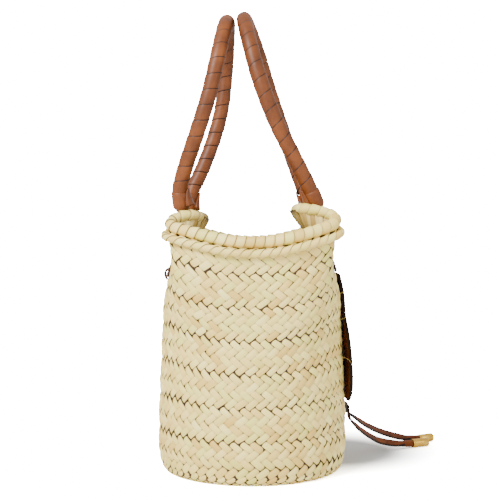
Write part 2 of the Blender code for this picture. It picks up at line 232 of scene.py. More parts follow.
def sheet_faces(rows: int, columns: int, first: int = 0) -> list[list[int]]:
    """Faces of a grid of rows of points, numbered from first on."""
    faces = []
    for i in range(rows - 1):
        for j in range(columns - 1):
            a, b = first + i * columns + j, first + (i + 1) * columns + j
            faces.append([a, a + 1, b + 1, b])
    return faces


def border_of(rows: int, columns: int) -> list[int]:
    """The numbers of a sheet's border points, once round."""
    last = (rows - 1) * columns
    return (
        list(range(columns))
        + [i * columns + columns - 1 for i in range(1, rows)]
        + [last + j for j in range(columns - 2, -1, -1)]
        + [i * columns for i in range(rows - 2, 0, -1)]
    )


def finish_piece(obj: bpy.types.Object, body: Body, slot: Slot, *stands_for: str) -> bpy.types.Object:
    """Rides a piece on its body, and hides the CAD nodes that it stands for."""
    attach(obj, body.value)
    if stands_for:
        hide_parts(*stands_for)
    LOG.info("%s: %d faces, on %s", obj.name, len(obj.data.polygons), body.value)
    return obj


# Materials


def linear(hex_colour: str) -> tuple[float, float, float, float]:
    """An sRGB hex colour as linear RGBA."""
    values = [int(hex_colour.lstrip("#")[i : i + 2], 16) / 255 for i in (0, 2, 4)]
    r, g, b = (v / 12.92 if v <= 0.04045 else ((v + 0.055) / 1.055) ** 2.4 for v in values)
    return r, g, b, 1.0


def add_node(
    tree: bpy.types.NodeTree, kind: str, settings: dict | None = None, links: dict | None = None
) -> bpy.types.Node:
    """Adds a node.

    Args:
        tree: The tree that gets it.
        kind: The node's type.
        settings: Its properties; a key that names an input sets that input's value.
        links: Input to the socket that feeds it.

    Returns:
        The node.
    """
    node = tree.nodes.new(kind)
    for key, value in (settings or {}).items():
        if isinstance(key, str) and hasattr(node, key):
            setattr(node, key, value)
        else:
            node.inputs[key].default_value = value
    for key, socket in (links or {}).items():
        tree.links.new(socket, node.inputs[key])
    return node


def colour_ramp(
    tree: bpy.types.NodeTree, source: bpy.types.NodeSocket, stops: Sequence[tuple[float, str]]
) -> bpy.types.NodeSocket:
    """A colour ramp from a value through some hex stops."""
    node = add_node(tree, "ShaderNodeValToRGB", links={"Fac": source})
    elements = node.color_ramp.elements
    while len(elements) < len(stops):
        elements.new(0.5)
    for element, (at, colour) in zip(elements, stops):
        element.position = at
        element.color = linear(colour)
    return node.outputs["Color"]


@dataclass(frozen=True)
class Finish:
    """A finish that a Principled shader carries."""

    name: str
    roughness: float
    metallic: float = 0.0
    specular: float = 0.5

    def start(self) -> tuple[bpy.types.Material, bpy.types.NodeTree, bpy.types.Node]:
        """A new material, its tree and its shader."""
        material = bpy.data.materials.new(self.name)
        material.use_nodes = True
        tree = material.node_tree
        shader = tree.nodes["Principled BSDF"]
        shader.inputs["Roughness"].default_value = self.roughness
        shader.inputs["Metallic"].default_value = self.metallic
        shader.inputs["Specular IOR Level"].default_value = self.specular
        return material, tree, shader


@dataclass(frozen=True)
class PalmStrip(Finish):
    """Sun-dried palm leaf, split into strips: satin, straw to greenish cream, with fibres along the strip.

    The tone attribute gives each strip its own shade, and the strip attribute runs the fibres along it.
    """

    stops: tuple[tuple[float, str], ...] = (
        (0.0, "#DDB95C"),
        (0.20, "#ECD074"),
        (0.45, "#F6E284"),
        (0.62, "#E6DA74"),
        (0.80, "#F2D67E"),
        (1.0, "#FCEC94"),
    )
    streak_stops: tuple[tuple[float, str], ...] = ((0.25, "#D6C8A2"), (0.50, "#F7F3E6"), (0.75, "#FFFFFF"))
    blotch_stops: tuple[tuple[float, str], ...] = ((0.35, "#EFE6C8"), (0.5, "#FFFFFF"), (0.68, "#F3F5E4"))
    # Painted shade: the colour where a strip tucks under its neighbours.
    tuck_shade: str = "#5A4218"  # where a strip tucks under its neighbours
    fibres_per_m: float = 1500.0  # a fibre about every 0.7 mm, as coarse as it needs to show
    fibre_bump_m: float = 0.00012

    def make(self) -> bpy.types.Material:
        """Builds the material."""
        material, tree, shader = self.start()
        tone = add_node(tree, "ShaderNodeAttribute", {"attribute_name": "tone"})
        along = add_node(tree, "ShaderNodeAttribute", {"attribute_name": "strip"})
        stretch = add_node(
            tree,
            "ShaderNodeMapping",
            {"Scale": (60.0, self.fibres_per_m, 1.0)},
            {"Vector": along.outputs["Vector"]},
        )
        fibres = add_node(
            tree,
            "ShaderNodeTexNoise",
            {"Scale": 1.0, "Detail": 3.0, "Roughness": 0.6},
            {"Vector": stretch.outputs[0]},
        )
        shade = colour_ramp(tree, tone.outputs["Fac"], self.stops)
        streak = colour_ramp(tree, fibres.outputs["Fac"], self.streak_stops)
        streaked = add_node(
            tree,
            "ShaderNodeMix",
            {"data_type": "RGBA", "blend_type": "MULTIPLY", 0: 0.55},
            {6: shade, 7: streak},
        )
        place = add_node(tree, "ShaderNodeTexCoord")
        patches = add_node(
            tree, "ShaderNodeTexNoise", {"Scale": 34.0, "Detail": 2.0}, {"Vector": place.outputs["Object"]}
        )
        blotch = colour_ramp(tree, patches.outputs["Fac"], self.blotch_stops)
        blotched = add_node(
            tree,
            "ShaderNodeMix",
            {"data_type": "RGBA", "blend_type": "MULTIPLY", 0: 0.6},
            {6: streaked.outputs[2], 7: blotch},
        )
        rough = add_node(
            tree,
            "ShaderNodeMapRange",
            {"To Min": self.roughness - 0.10, "To Max": self.roughness + 0.12},
            {"Value": fibres.outputs["Fac"]},
        )
        bump = add_node(
            tree,
            "ShaderNodeBump",
            {"Strength": 0.6, "Distance": self.fibre_bump_m},
            {"Height": fibres.outputs["Fac"]},
        )
        # Painted shade: the colour darkens where the strip tucks under its neighbours, where the edge
        # attribute nears 1.
        edge = add_node(tree, "ShaderNodeAttribute", {"attribute_name": "edge"})
        tuck_shade_mask = add_node(
            tree, "ShaderNodeMapRange", {"From Min": 0.55, "To Max": 0.9}, {"Value": edge.outputs["Fac"]}
        )
        tuck_shaded = add_node(
            tree,
            "ShaderNodeMix",
            {"data_type": "RGBA", 7: linear(self.tuck_shade)},
            {0: tuck_shade_mask.outputs["Result"], 6: blotched.outputs[2]},
        )
        tree.links.new(tuck_shaded.outputs[2], shader.inputs["Base Color"])
        tree.links.new(rough.outputs["Result"], shader.inputs["Roughness"])
        tree.links.new(bump.outputs["Normal"], shader.inputs["Normal"])
        return material


@dataclass(frozen=True)
class Leather(Finish):
    """Smooth calf leather, tanned and waxed: satin, with a fine grain and soft pull-up patches.

    Where the edge attribute nears 1 the leather is cut, and its edge is painted dark.
    """

    face: str = "#62310D"
    deep: str = "#522708"
    light: str = "#773E14"
    paint: str = "#1C0C06"
    grain_per_m: float = 1400.0
    edge_from: float = 0.86

    def make(self) -> bpy.types.Material:
        """Builds the material."""
        material, tree, shader = self.start()
        place = add_node(tree, "ShaderNodeTexCoord")
        patches = add_node(
            tree,
            "ShaderNodeTexNoise",
            {"Scale": 42.0, "Detail": 4.0, "Roughness": 0.55},
            {"Vector": place.outputs["Object"]},
        )
        grain = add_node(
            tree, "ShaderNodeTexVoronoi", {"Scale": self.grain_per_m}, {"Vector": place.outputs["Object"]}
        )
        creases = add_node(
            tree, "ShaderNodeTexNoise", {"Scale": 260.0, "Detail": 5.0}, {"Vector": place.outputs["Object"]}
        )
        shade = colour_ramp(
            tree, patches.outputs["Fac"], ((0.30, self.deep), (0.50, self.face), (0.72, self.light))
        )
        edge = add_node(tree, "ShaderNodeAttribute", {"attribute_name": "edge"})
        cut = add_node(
            tree,
            "ShaderNodeMapRange",
            {"From Min": self.edge_from, "From Max": self.edge_from + 0.08},
            {"Value": edge.outputs["Fac"]},
        )
        painted = add_node(
            tree,
            "ShaderNodeMix",
            {"data_type": "RGBA", 7: linear(self.paint)},
            {0: cut.outputs["Result"], 6: shade},
        )
        rough = add_node(
            tree,
            "ShaderNodeMapRange",
            {"To Min": self.roughness - 0.08, "To Max": self.roughness + 0.14},
            {"Value": creases.outputs["Fac"]},
        )
        height = add_node(
            tree, "ShaderNodeMath", {"operation": "MULTIPLY", 1: 0.35}, {0: grain.outputs["Distance"]}
        )
        total = add_node(
            tree, "ShaderNodeMath", {"operation": "ADD"}, {0: height.outputs[0], 1: creases.outputs["Fac"]}
        )
        bump = add_node(
            tree, "ShaderNodeBump", {"Strength": 0.35, "Distance": 0.00025}, {"Height": total.outputs[0]}
        )
        tree.links.new(painted.outputs[2], shader.inputs["Base Color"])
        tree.links.new(rough.outputs["Result"], shader.inputs["Roughness"])
        tree.links.new(bump.outputs["Normal"], shader.inputs["Normal"])
        return material


@dataclass(frozen=True)
class Mottled(Finish):
    """A plain material with a little noise in its colour and surface, for thread, rope, the painted-shade
    sheet and brass.
    """

    dark: str = "#5A3A20"
    bright: str = "#6E4A2C"
    scale_per_m: float = 900.0
    bump_m: float = 0.0001

    def make(self) -> bpy.types.Material:
        """Builds the material."""
        material, tree, shader = self.start()
        place = add_node(tree, "ShaderNodeTexCoord")
        noise = add_node(
            tree,
            "ShaderNodeTexNoise",
            {"Scale": self.scale_per_m, "Detail": 3.0},
            {"Vector": place.outputs["Object"]},
        )
        shade = colour_ramp(tree, noise.outputs["Fac"], ((0.35, self.dark), (0.65, self.bright)))
        bump = add_node(
            tree,
            "ShaderNodeBump",
            {"Strength": 0.5, "Distance": self.bump_m},
            {"Height": noise.outputs["Fac"]},
        )
        tree.links.new(shade, shader.inputs["Base Color"])
        tree.links.new(bump.outputs["Normal"], shader.inputs["Normal"])
        return material


@dataclass
class Finishes:
    """Every finish of the bag, made once."""

    palm: bpy.types.Material = field(init=False)
    shaded_palm: bpy.types.Material = field(init=False)
    shadow_sheet: bpy.types.Material = field(init=False)
    rope: bpy.types.Material = field(init=False)
    tan: bpy.types.Material = field(init=False)
    lining: bpy.types.Material = field(init=False)
    dark: bpy.types.Material = field(init=False)
    lace: bpy.types.Material = field(init=False)
    thread: bpy.types.Material = field(init=False)
    brass: bpy.types.Material = field(init=False)

    def __post_init__(self) -> None:
        """Builds the materials."""
        self.palm = PalmStrip("palm_strip", 0.52).make()
        # Painted shade: a darker copy of the palm strip for the faces inside the bag, which lie in shade.
        self.shaded_palm = PalmStrip(
            "shaded_inner_palm_strip",
            0.60,
            stops=((0.0, "#A8883C"), (0.3, "#C2A458"), (0.6, "#D4BC74"), (1.0, "#E2CE8C")),
        ).make()
        # Painted shade: a dark sheet that shows in the slits between strips, for the shaded backs of the
        # other strips.
        self.shadow_sheet = Mottled(
            "plait_shadow", 0.9, dark="#2E1E0A", bright="#4A3414", scale_per_m=300.0
        ).make()
        self.rope = Mottled("palm_rope", 0.85, dark="#8A7040", bright="#B49A62", scale_per_m=700.0).make()
        self.tan = Leather("waxed_tan_calf", 0.46, specular=0.30).make()
        self.lining = Leather(
            "brown_calf_lining", 0.60, specular=0.15, face="#552506", deep="#3A1804", light="#64300C"
        ).make()
        self.dark = Leather("edge_painted_calf", 0.42, face="#1E0E08", deep="#140904", light="#2A160C").make()
        self.lace = Leather(
            "lace_calf", 0.60, specular=0.15, face="#5C2A06", deep="#3E1A04", light="#6C360C", edge_from=0.63
        ).make()
        self.thread = Mottled(
            "waxed_thread", 0.6, dark="#6A3C1C", bright="#8C5630", scale_per_m=2500.0
        ).make()
        # Lacquered satin brass: warm gold, smooth, with a faint brushed unevenness.
        self.brass = Mottled(
            "lacquered_satin_brass",
            0.24,
            metallic=1.0,
            dark="#C8983A",
            bright="#DDB450",
            scale_per_m=120.0,
            bump_m=0.00002,
        ).make()


# Geometry Nodes


@dataclass
class StripLayer:
    """A Geometry Nodes tree that lays one strip mesh on points, each turned, sized and toned by itself.

    The points carry turn, size and lap; a random tone with a fixed seed is added to each strip.
    """

    name: str = "lay_strips"
    tree: bpy.types.NodeTree = field(init=False)

    def __post_init__(self) -> None:
        """Builds the tree."""
        tree = bpy.data.node_groups.new(self.name, "GeometryNodeTree")
        face = tree.interface
        face.new_socket("Points", in_out="INPUT", socket_type="NodeSocketGeometry")
        face.new_socket("Strip", in_out="INPUT", socket_type="NodeSocketObject")
        face.new_socket("Finish", in_out="INPUT", socket_type="NodeSocketMaterial")
        face.new_socket("Tilt", in_out="INPUT", socket_type="NodeSocketFloat")
        face.new_socket("Seed", in_out="INPUT", socket_type="NodeSocketInt")
        face.new_socket("Strips", in_out="OUTPUT", socket_type="NodeSocketGeometry")
        given = add_node(tree, "NodeGroupInput").outputs
        turn, size = (
            add_node(tree, "GeometryNodeInputNamedAttribute", {"data_type": "FLOAT_VECTOR", "Name": name})
            for name in ("turn", "size")
        )
        strip = add_node(tree, "GeometryNodeObjectInfo", links={"Object": given["Strip"]})
        less = add_node(tree, "ShaderNodeMath", {"operation": "MULTIPLY", 1: -1.0}, {0: given["Tilt"]})
        wobble = add_node(
            tree,
            "FunctionNodeRandomValue",
            {"data_type": "FLOAT"},
            {"Min": less.outputs[0], "Max": given["Tilt"], "Seed": given["Seed"]},
        )
        tilt = add_node(tree, "ShaderNodeCombineXYZ", links={"X": wobble.outputs[1]})
        turned = add_node(
            tree, "ShaderNodeVectorMath", {"operation": "ADD"}, {0: turn.outputs[0], 1: tilt.outputs[0]}
        )
        rotation = add_node(tree, "FunctionNodeEulerToRotation", links={0: turned.outputs[0]})
        laid = add_node(
            tree,
            "GeometryNodeInstanceOnPoints",
            links={
                "Points": given["Points"],
                "Instance": strip.outputs["Geometry"],
                "Rotation": rotation.outputs[0],
                "Scale": size.outputs[0],
            },
        )
        tone = add_node(
            tree, "FunctionNodeRandomValue", {"data_type": "FLOAT"}, {"Seed": given["Seed"]}
        )
        toned = add_node(
            tree,
            "GeometryNodeStoreNamedAttribute",
            {"data_type": "FLOAT", "domain": "INSTANCE", "Name": "tone"},
            {"Geometry": laid.outputs[0], "Value": tone.outputs[1]},
        )
        real = add_node(tree, "GeometryNodeRealizeInstances", links={0: toned.outputs[0]})
        dressed = add_node(
            tree, "GeometryNodeSetMaterial", links={"Geometry": real.outputs[0], "Material": given["Finish"]}
        )
        out = add_node(tree, "NodeGroupOutput")
        tree.links.new(dressed.outputs[0], out.inputs[0])
        self.tree = tree

    def lay(
        self,
        name: str,
        places: np.ndarray,
        turns: np.ndarray,
        sizes: np.ndarray,
        strip: bpy.types.Object,
        finish: bpy.types.Material,
        seed: int,
        tilt: float = 0.0,
        extra: dict[str, np.ndarray] | None = None,
    ) -> bpy.types.Mesh:
        """Lays the strips and returns them as one plain mesh.

        Args:
            name: The mesh's name.
            places: Where each strip goes.
            turns: Its Euler turn.
            sizes: Its scale.
            strip: The object that holds the strip's mesh.
            finish: The strips' material.
            seed: The fixed seed of the tones and tilts.
            tilt: The most that a strip tilts about its length, in radians.
            extra: More values at each point that the strips keep.

        Returns:
            The mesh of all the strips.
        """
        mesh = bpy.data.meshes.new(name + "_points")
        mesh.from_pydata(places.tolist(), [], [])
        for key, values in {"turn": turns, "size": sizes, **(extra or {})}.items():
            kind = "FLOAT" if values.ndim == 1 else "FLOAT_VECTOR"
            slot = mesh.attributes.new(key, kind, "POINT")
            slot.data.foreach_set("value" if kind == "FLOAT" else "vector", values.astype(np.float32).ravel())
        holder = bpy.data.objects.new(name + "_points", mesh)
        bpy.context.scene.collection.objects.link(holder)
        modifier = holder.modifiers.new("strips", "NODES")
        modifier.node_group = self.tree
        given = {"Strip": strip, "Finish": finish, "Tilt": float(tilt), "Seed": int(seed)}
        for socket in self.tree.interface.items_tree:
            if socket.in_out == "INPUT" and socket.name in given:
                modifier[socket.identifier] = given[socket.name]
        bpy.context.view_layer.update()
        graph = bpy.context.evaluated_depsgraph_get()
        made = bpy.data.meshes.new_from_object(
            holder.evaluated_get(graph), preserve_all_data_layers=True, depsgraph=graph
        )
        made.name = name
        bpy.data.objects.remove(holder, do_unlink=True)
        return made


def mesh_points(mesh: bpy.types.Mesh) -> np.ndarray:
    """A mesh's points as an array."""
    co = np.zeros(len(mesh.vertices) * 3, np.float32)
    mesh.vertices.foreach_get("co", co)
    return co.reshape(-1, 3).astype(float)


def mesh_values(mesh: bpy.types.Mesh, name: str) -> np.ndarray:
    """A float attribute of a mesh as an array."""
    values = np.zeros(len(mesh.vertices), np.float32)
    mesh.attributes[name].data.foreach_get("value", values)
    return values.astype(float)


def place_points(mesh: bpy.types.Mesh, points: np.ndarray) -> None:
    """Moves a mesh's points."""
    mesh.vertices.foreach_set("co", points.astype(np.float32).ravel())
    mesh.update()
    mesh.shade_smooth()


def object_of(mesh: bpy.types.Mesh, name: str) -> bpy.types.Object:
    """A linked object that holds a mesh."""
    obj = bpy.data.objects.new(name, mesh)
    bpy.context.scene.collection.objects.link(obj)
    return obj


# The basket


@dataclass
class BasketForm:
    """The basket's shape: a round body whose front and back panels pinch in under a saddle rim."""

    wall_thick: float = 0.004
    foot_z: float = 0.0118
    profile: tuple[tuple[float, float], ...] = (
        (0.0, 0.0985),
        (0.012, 0.1003),
        (0.028, 0.1022),
        (0.060, 0.1020),
        (0.114, 0.1000),
        (0.186, 0.0963),
        (0.290, 0.0955),
    )
    rim_quarter: tuple[tuple[float, float, float], ...] = (
        (0.0, -0.0960, 0.2500),
        (0.0250, -0.0954, 0.2517),
        (0.0500, -0.0930, 0.2572),
        (0.0800, -0.0800, 0.2665),
        (0.0872, -0.0670, 0.2740),
        (0.0800, -0.0580, 0.2800),
        (0.0650, -0.0532, 0.2835),
        (0.0532, -0.0428, 0.2850),
        (0.0505, -0.0235, 0.2850),
        (0.0500, 0.0, 0.2850),
    )
    corner: int = 4
    back_reach: float = 0.975
    back_drop: float = 0.0045
    back_fill: float = 0.0060
    back_dip: float = 0.0050
    pinch_from: float = 0.62
    pinch_power: float = 2.2
    shoulder: tuple[float, float, float] = (0.50, 0.88, 3.4)
    dip_power: float = 1.3
    splay: float = 1.0  # how much further apart a handle's tabs stand for each unit of level down
    roll_radius: float = 0.006
    rim: np.ndarray = field(init=False)
    spread: np.ndarray = field(init=False)

    def __post_init__(self) -> None:
        """Works out the rim's closed line."""
        quarter = np.array(self.rim_quarter)
        front = np.vstack([quarter, quarter[-2::-1] * [1, -1, 1]])
        corner, middle = quarter[self.corner], quarter[-1]
        back = front[-2:0:-1].copy()
        raised = np.clip((back[:, 2] - corner[2] + 0.012) / 0.012, 0, 1)
        inner = raised * np.maximum(0, (corner[0] - back[:, 0]) / (corner[0] - middle[0]))
        back[:, 0] = -(back[:, 0] * self.back_reach + self.back_fill * inner)
        back[:, 2] -= self.back_drop * raised + self.back_dip * inner**3
        per_span = 12
        line = smooth_line(np.vstack([front, back]), per_span, closed=True)
        line = np.vstack([line, line[:1]])
        step = (len(quarter) - 1) * per_span
        self.rim = np.vstack([evenly(line[q * step : (q + 1) * step + 1], 61)[:-1] for q in range(4)])
        places = np.linspace(0, 1, 721)
        levels = np.linspace(0, 1, 25)
        rounds = (lengths_of(self.wall(places, t)) for t in levels)
        self.spread = np.array([np.interp(places, along / along[-1], places) for along in rounds])

    def rim_at(self, u: np.ndarray) -> np.ndarray:
        """Points on the rim at shares u of the way round."""
        n = len(self.rim)
        at = (np.asarray(u) % 1.0) * n
        i = at.astype(int) % n
        f = (at - np.floor(at))[..., None]
        return self.rim[i] * (1 - f) + self.rim[(i + 1) % n] * f

    def wall(self, u: np.ndarray, t: np.ndarray) -> np.ndarray:
        """Points on the wall's mid surface, u of the way round and t of the way up."""
        u, t = np.broadcast_arrays(np.asarray(u, float), np.asarray(t, float))
        rim = self.rim_at(u)
        top = rim[..., 2] - self.roll_radius - 4 * GAP
        mean_top = self.rim[0][2] - self.roll_radius
        tc = np.maximum(t, 0)
        z = self.foot_z + (mean_top - self.foot_z) * t + (top - mean_top) * tc**self.dip_power
        table = np.array(self.profile)
        radius = np.interp(z, table[:, 0], table[:, 1]) - self.wall_thick / 2
        angle = 2 * math.pi * u - math.pi / 2
        low, high, most = self.shoulder
        power = 2 / (2 + (most - 2) * ramp(t, low, high))
        body = flat_section(angle, power, power) * radius[..., None]
        above = np.clip((t - self.pinch_from) / (1 - self.pinch_from), 0, None)
        pinch = (above**self.pinch_power)[..., None]
        plan = body * (1 - pinch) + rim[..., :2] * pinch
        return np.concatenate([plan, z[..., None]], -1)

    def even(self, share: np.ndarray, t: np.ndarray) -> np.ndarray:
        """The u at a share of the wall's own length round, so that strips keep their size at every level."""
        levels, places = self.spread.shape
        whole = np.floor(share)
        row = np.clip(t, 0, 1) * (levels - 1)
        i = np.minimum(row.astype(int), levels - 2)
        column = (share - whole) * (places - 1)
        j = np.minimum(column.astype(int), places - 2)
        f, g = row - i, column - j
        low = self.spread[i, j] * (1 - g) + self.spread[i, j + 1] * g
        high = self.spread[i + 1, j] * (1 - g) + self.spread[i + 1, j + 1] * g
        return whole + low * (1 - f) + high * f

    def normal(self, u: np.ndarray, t: np.ndarray) -> np.ndarray:
        """The wall's outward normals."""
        low = np.minimum(t, 0.97)
        along = self.wall(u + 0.004, t) - self.wall(u - 0.004, t)
        return unit(np.cross(along, self.wall(u, low + 0.03) - self.wall(u, low)))

    def off(self, u: np.ndarray, t: np.ndarray, distance: np.ndarray | float) -> np.ndarray:
        """Points at a distance outside the wall's mid surface."""
        return self.wall(u, t) + self.normal(u, t) * np.asarray(distance)[..., None]

    def girth(self, u: float, t: float) -> float:
        """Metres of wall for each unit of u near a place."""
        return float(np.linalg.norm(self.wall(u + 0.004, t) - self.wall(u - 0.004, t))) / 0.008

    def front_of_wall(self, y: np.ndarray, z: float) -> np.ndarray:
        """How far forward the front panel's outer face is at some places across it, at one height."""
        levels = np.linspace(0, 1, 400)
        t = float(np.interp(z, self.wall(np.full(400, 0.25), levels)[:, 2], levels))
        u = 0.25 + np.asarray(y) / self.girth(0.25, t)
        return self.off(u, np.full(len(u), t), self.wall_thick / 2)[:, 0]

    def below(self, foot: np.ndarray, t: float) -> float:
        """The u at which a strap that runs down from a leg's foot crosses level t, splaying a little."""
        u = (0.25 if foot[0] > 0 else 0.75) + np.arange(-400, 401) / 2880
        away = np.abs(self.wall(u, np.full(len(u), t))[:, 1] - foot[1] * (1 + self.splay * (1 - t)))
        return float(u[away.argmin()])

    def nearest(self, point: Sequence[float], t: float) -> float:
        """The u at which the wall at level t is nearest to a point in plan."""
        u = np.arange(720) / 720
        away = np.linalg.norm(self.wall(u, np.full(720, t))[:, :2] - np.asarray(point)[:2], axis=1)
        return float(u[away.argmin()])


@dataclass
class Plait:
    """The herringbone plait: crowned floats of palm strip, in rows that lean left and right by turns."""

    form: BasketForm
    layer: StripLayer
    finishes: Finishes
    strips_round: int = 58
    rows: int = 27
    rows_in_course: int = 4
    pitch: float = 0.0111  # from one strip to the next in a row
    row_height: float = 0.0094
    crown: float = 0.0010
    bulge: float = 0.0008  # each sewn course swells between its seams
    outer_off: float = 0.0016  # how far each layer's roots stand off the wall's mid surface
    inner_off: float = 0.0014
    binding_off: float = 0.0026
    shadow_sheet_off: float = 0.0012
    foot_drop: float = 0.24  # how far the lowest row is lowered, in rows
    foot_widen: float = 1.12
    binding_strips: int = 170
    binding_level: float = 0.973
    binding_length: float = 0.027
    seed: int = 7

    def float_strip(self, name: str, along: int = 8, across: int = 4) -> bpy.types.Object:
        """One float of strip, crowned along and across, with ends that dive under its neighbours.

        Args:
            name: The object's name.
            along: Faces along the strip.
            across: Faces across it.

        Returns:
            An object 1 long and 1 wide, its height in metres.
        """
        s = np.linspace(-1, 1, along + 1)
        c = np.linspace(-1, 1, across + 1)
        sg, cg = np.meshgrid(s, c, indexing="ij")
        z = self.crown * (1 - 1.9 * np.abs(sg) ** 3.0) - 0.00070 * np.abs(cg) ** 2.2
        squeeze = 1 - 0.10 * np.abs(sg) ** 4
        verts = np.stack([sg / 2, cg / 2 * squeeze, z], -1).reshape(-1, 3)
        columns = across + 1
        faces = sheet_faces(along + 1, columns) + [border_of(along + 1, columns)]
        length = math.hypot(self.pitch, self.row_height)
        grain = np.stack([verts[:, 0] * length, verts[:, 1] * length / 2, np.zeros(len(verts))], -1)
        # Painted shade: the edge value darkens the float's ends and sides, where it tucks under its
        # neighbours.
        tuck_shade_amount = np.clip(np.maximum(ramp(np.abs(sg), 0.74, 1.0), 0.8 * ramp(np.abs(cg), 0.6, 1.05)), 0, 1)
        return mesh_object(
            name, verts, faces, self.finishes.palm, {"strip": grain, "edge": tuck_shade_amount.reshape(-1)}
        )

    def lattice(self, rows: Sequence[int], laps: Sequence[int], seed: int) -> dict[str, np.ndarray]:
        """The floats' places, turns and sizes in the flat plait.

        Args:
            rows: The rows' numbers, which set their lean and their height.
            laps: How many strips each row has.
            seed: The fixed seed of the small unevenness.

        Returns:
            Arrays that StripLayer.lay takes.
        """
        rng = np.random.default_rng(seed)
        lean = math.atan2(self.row_height, self.pitch)
        width = self.pitch * math.sin(lean)
        length = math.hypot(self.pitch, self.row_height) * 1.16
        places, turns, sizes, lap_lengths = [], [], [], []
        for row, lap in zip(rows, laps):
            odd = row % 2
            in_course = row % self.rows_in_course
            at_seam = in_course in (0, self.rows_in_course - 1)
            for k in range(lap):
                x = (k + 0.5 * odd + rng.normal(0, 0.025)) * self.pitch
                y = (row + 0.5 + rng.normal(0, 0.02)) * self.row_height
                nudge = 0.05 * self.row_height * (1 if in_course == 0 else -1) if at_seam else 0.0
                places.append((x, y + nudge, rng.normal(0, 0.00012)))
                own = -lean if odd else lean
                turns.append((rng.normal(0, 0.03), rng.normal(0, 0.02), own + rng.normal(0, 0.035)))
                slim = rng.uniform(0.90, 1.00) if at_seam else rng.uniform(0.97, 1.08)
                sizes.append((length * rng.uniform(0.95, 1.04) * (0.95 if at_seam else 1), width * slim, 1.0))
                lap_lengths.append(lap * self.pitch)
        return {
            "places": np.array(places),
            "turns": np.array(turns),
            "sizes": np.array(sizes),
            "extra": {"lap": np.array(lap_lengths)},
        }

    def on_wall(self, points: np.ndarray, lap: np.ndarray, side: int, stand_off: float) -> np.ndarray:
        """Bends flat plait on to the wall.

        Args:
            points: Points of the flat plait.
            lap: The flat length of the row that each point is in.
            side: 1 for the outside, -1 for the inside.
            stand_off: How far the floats' roots are from the wall's mid surface.

        Returns:
            The points in the row frame.
        """
        course = points[:, 1] / self.row_height / self.rows_in_course
        swell = self.bulge * (1 - (2 * (course - np.floor(course)) - 1) ** 2)
        t = points[:, 1] / self.row_height / self.rows
        u = self.form.even(points[:, 0] / lap, t)
        return self.form.off(u, t, side * (stand_off + points[:, 2] + swell))

    def lay_on_wall(
        self,
        name: str,
        strip: bpy.types.Object,
        floats: dict[str, np.ndarray],
        side: int,
        stand_off: float,
        seed: int,
        tilt: float,
        *stands_for: str,
    ) -> None:
        """Lays floats on one side of the wall as one piece, and drops the strip that they copy.

        Args:
            name: The piece's name.
            strip: The float to copy.
            floats: The places, turns and sizes in the flat plait.
            side: 1 for the outside, -1 for the inside.
            stand_off: How far the floats' roots are from the wall's mid surface.
            seed: The fixed seed of the tones and tilts.
            tilt: The most that a strip tilts about its length, in radians.
            stands_for: The nodes that the piece replaces.
        """
        finish = self.finishes.palm if side > 0 else self.finishes.shaded_palm
        mesh = self.layer.lay(name, strip=strip, finish=finish, seed=seed, tilt=tilt, **floats)
        place_points(mesh, self.on_wall(mesh_points(mesh), mesh_values(mesh, "lap"), side, stand_off))
        if side < 0:
            mesh.flip_normals()
        finish_piece(object_of(mesh, name), Body.BASKET, Slot.PALM, *stands_for)
        bpy.data.objects.remove(strip, do_unlink=True)

    def build_wall(self) -> None:
        """The outer and inner plait, the strips that bind its top edge, and the dark sheet of painted shade
        between.
        """
        rows, laps = range(self.rows), [self.strips_round] * self.rows
        floats = self.lattice(rows, laps, self.seed)
        # The lowest row is lower and a little wider, so that it laps on to the base.
        floats["places"][: self.strips_round, 1] -= self.foot_drop * self.row_height
        floats["sizes"][: self.strips_round, 1] *= self.foot_widen
        strip = self.float_strip("float_strip")
        self.lay_on_wall("wall_plait", strip, floats, 1, self.outer_off, self.seed, 0.05, "basket_wall")
        floats = self.lattice(rows, laps, self.seed + 1)
        strip = self.float_strip("coarse_strip", 5, 3)
        self.lay_on_wall("inner_plait", strip, floats, -1, self.inner_off, self.seed + 1, 0.05)
        self.build_binding()
        self.build_shadow_sheet()

    def build_binding(self) -> None:
        """The narrow upright strips that bind the plait's top edge inside, under the rim."""
        count = self.binding_strips
        rng = np.random.default_rng(self.seed + 5)
        lap = self.strips_round * self.pitch
        x = (np.arange(count) + rng.normal(0, 0.12, count)) * lap / count
        y = np.full(count, self.binding_level) * self.rows * self.row_height + rng.normal(0, 0.0006, count)
        flat = {
            "places": np.stack([x, y, np.zeros(count)], 1),
            "turns": np.stack([0 * x, 0 * x, math.pi / 2 + rng.normal(0, 0.10, count)], 1),
            "sizes": np.stack(
                [np.full(count, self.binding_length), rng.uniform(0.0034, 0.0050, count), np.ones(count)], 1
            ),
            "extra": {"lap": np.full(count, lap)},
        }
        strip = self.float_strip("binding_strip", 5, 3)
        self.lay_on_wall("rim_binding", strip, flat, -1, self.binding_off, 9, 0.1)

    def build_shadow_sheet(self) -> None:
        """A thin closed shell, dark with painted shade, that stands for the strips' shaded backs in the
        slits.
        """
        around, up = 240, 60
        u = np.arange(around) / around
        rings = [
            self.form.off(u, np.full(around, t), side * self.shadow_sheet_off)
            for side, ends in ((1, (-0.02, 1.0)), (-1, (1.0, -0.02)))
            for t in np.linspace(*ends, up)
        ]
        verts = np.concatenate(rings)
        faces = skin_faces(2 * up, around, closed=True)
        finish_piece(
            mesh_object("wall_backing", verts, faces, self.finishes.shadow_sheet), Body.BASKET, Slot.PALM
        )

    def base_profile(self) -> np.ndarray:
        """The base's outer profile as (radius, height), from the wall's foot to the centre."""
        outer = float(np.interp(self.form.foot_z, *np.array(self.form.profile).T))
        flat = 0.090
        a = np.linspace(0, math.pi / 2, 9)
        arc = np.stack([flat + (outer - 0.0003 - flat) * np.cos(a), 0.0095 * (1 - np.sin(a))], 1)
        return np.vstack([[outer, self.form.foot_z], arc, [[0.0, 0.0]]])

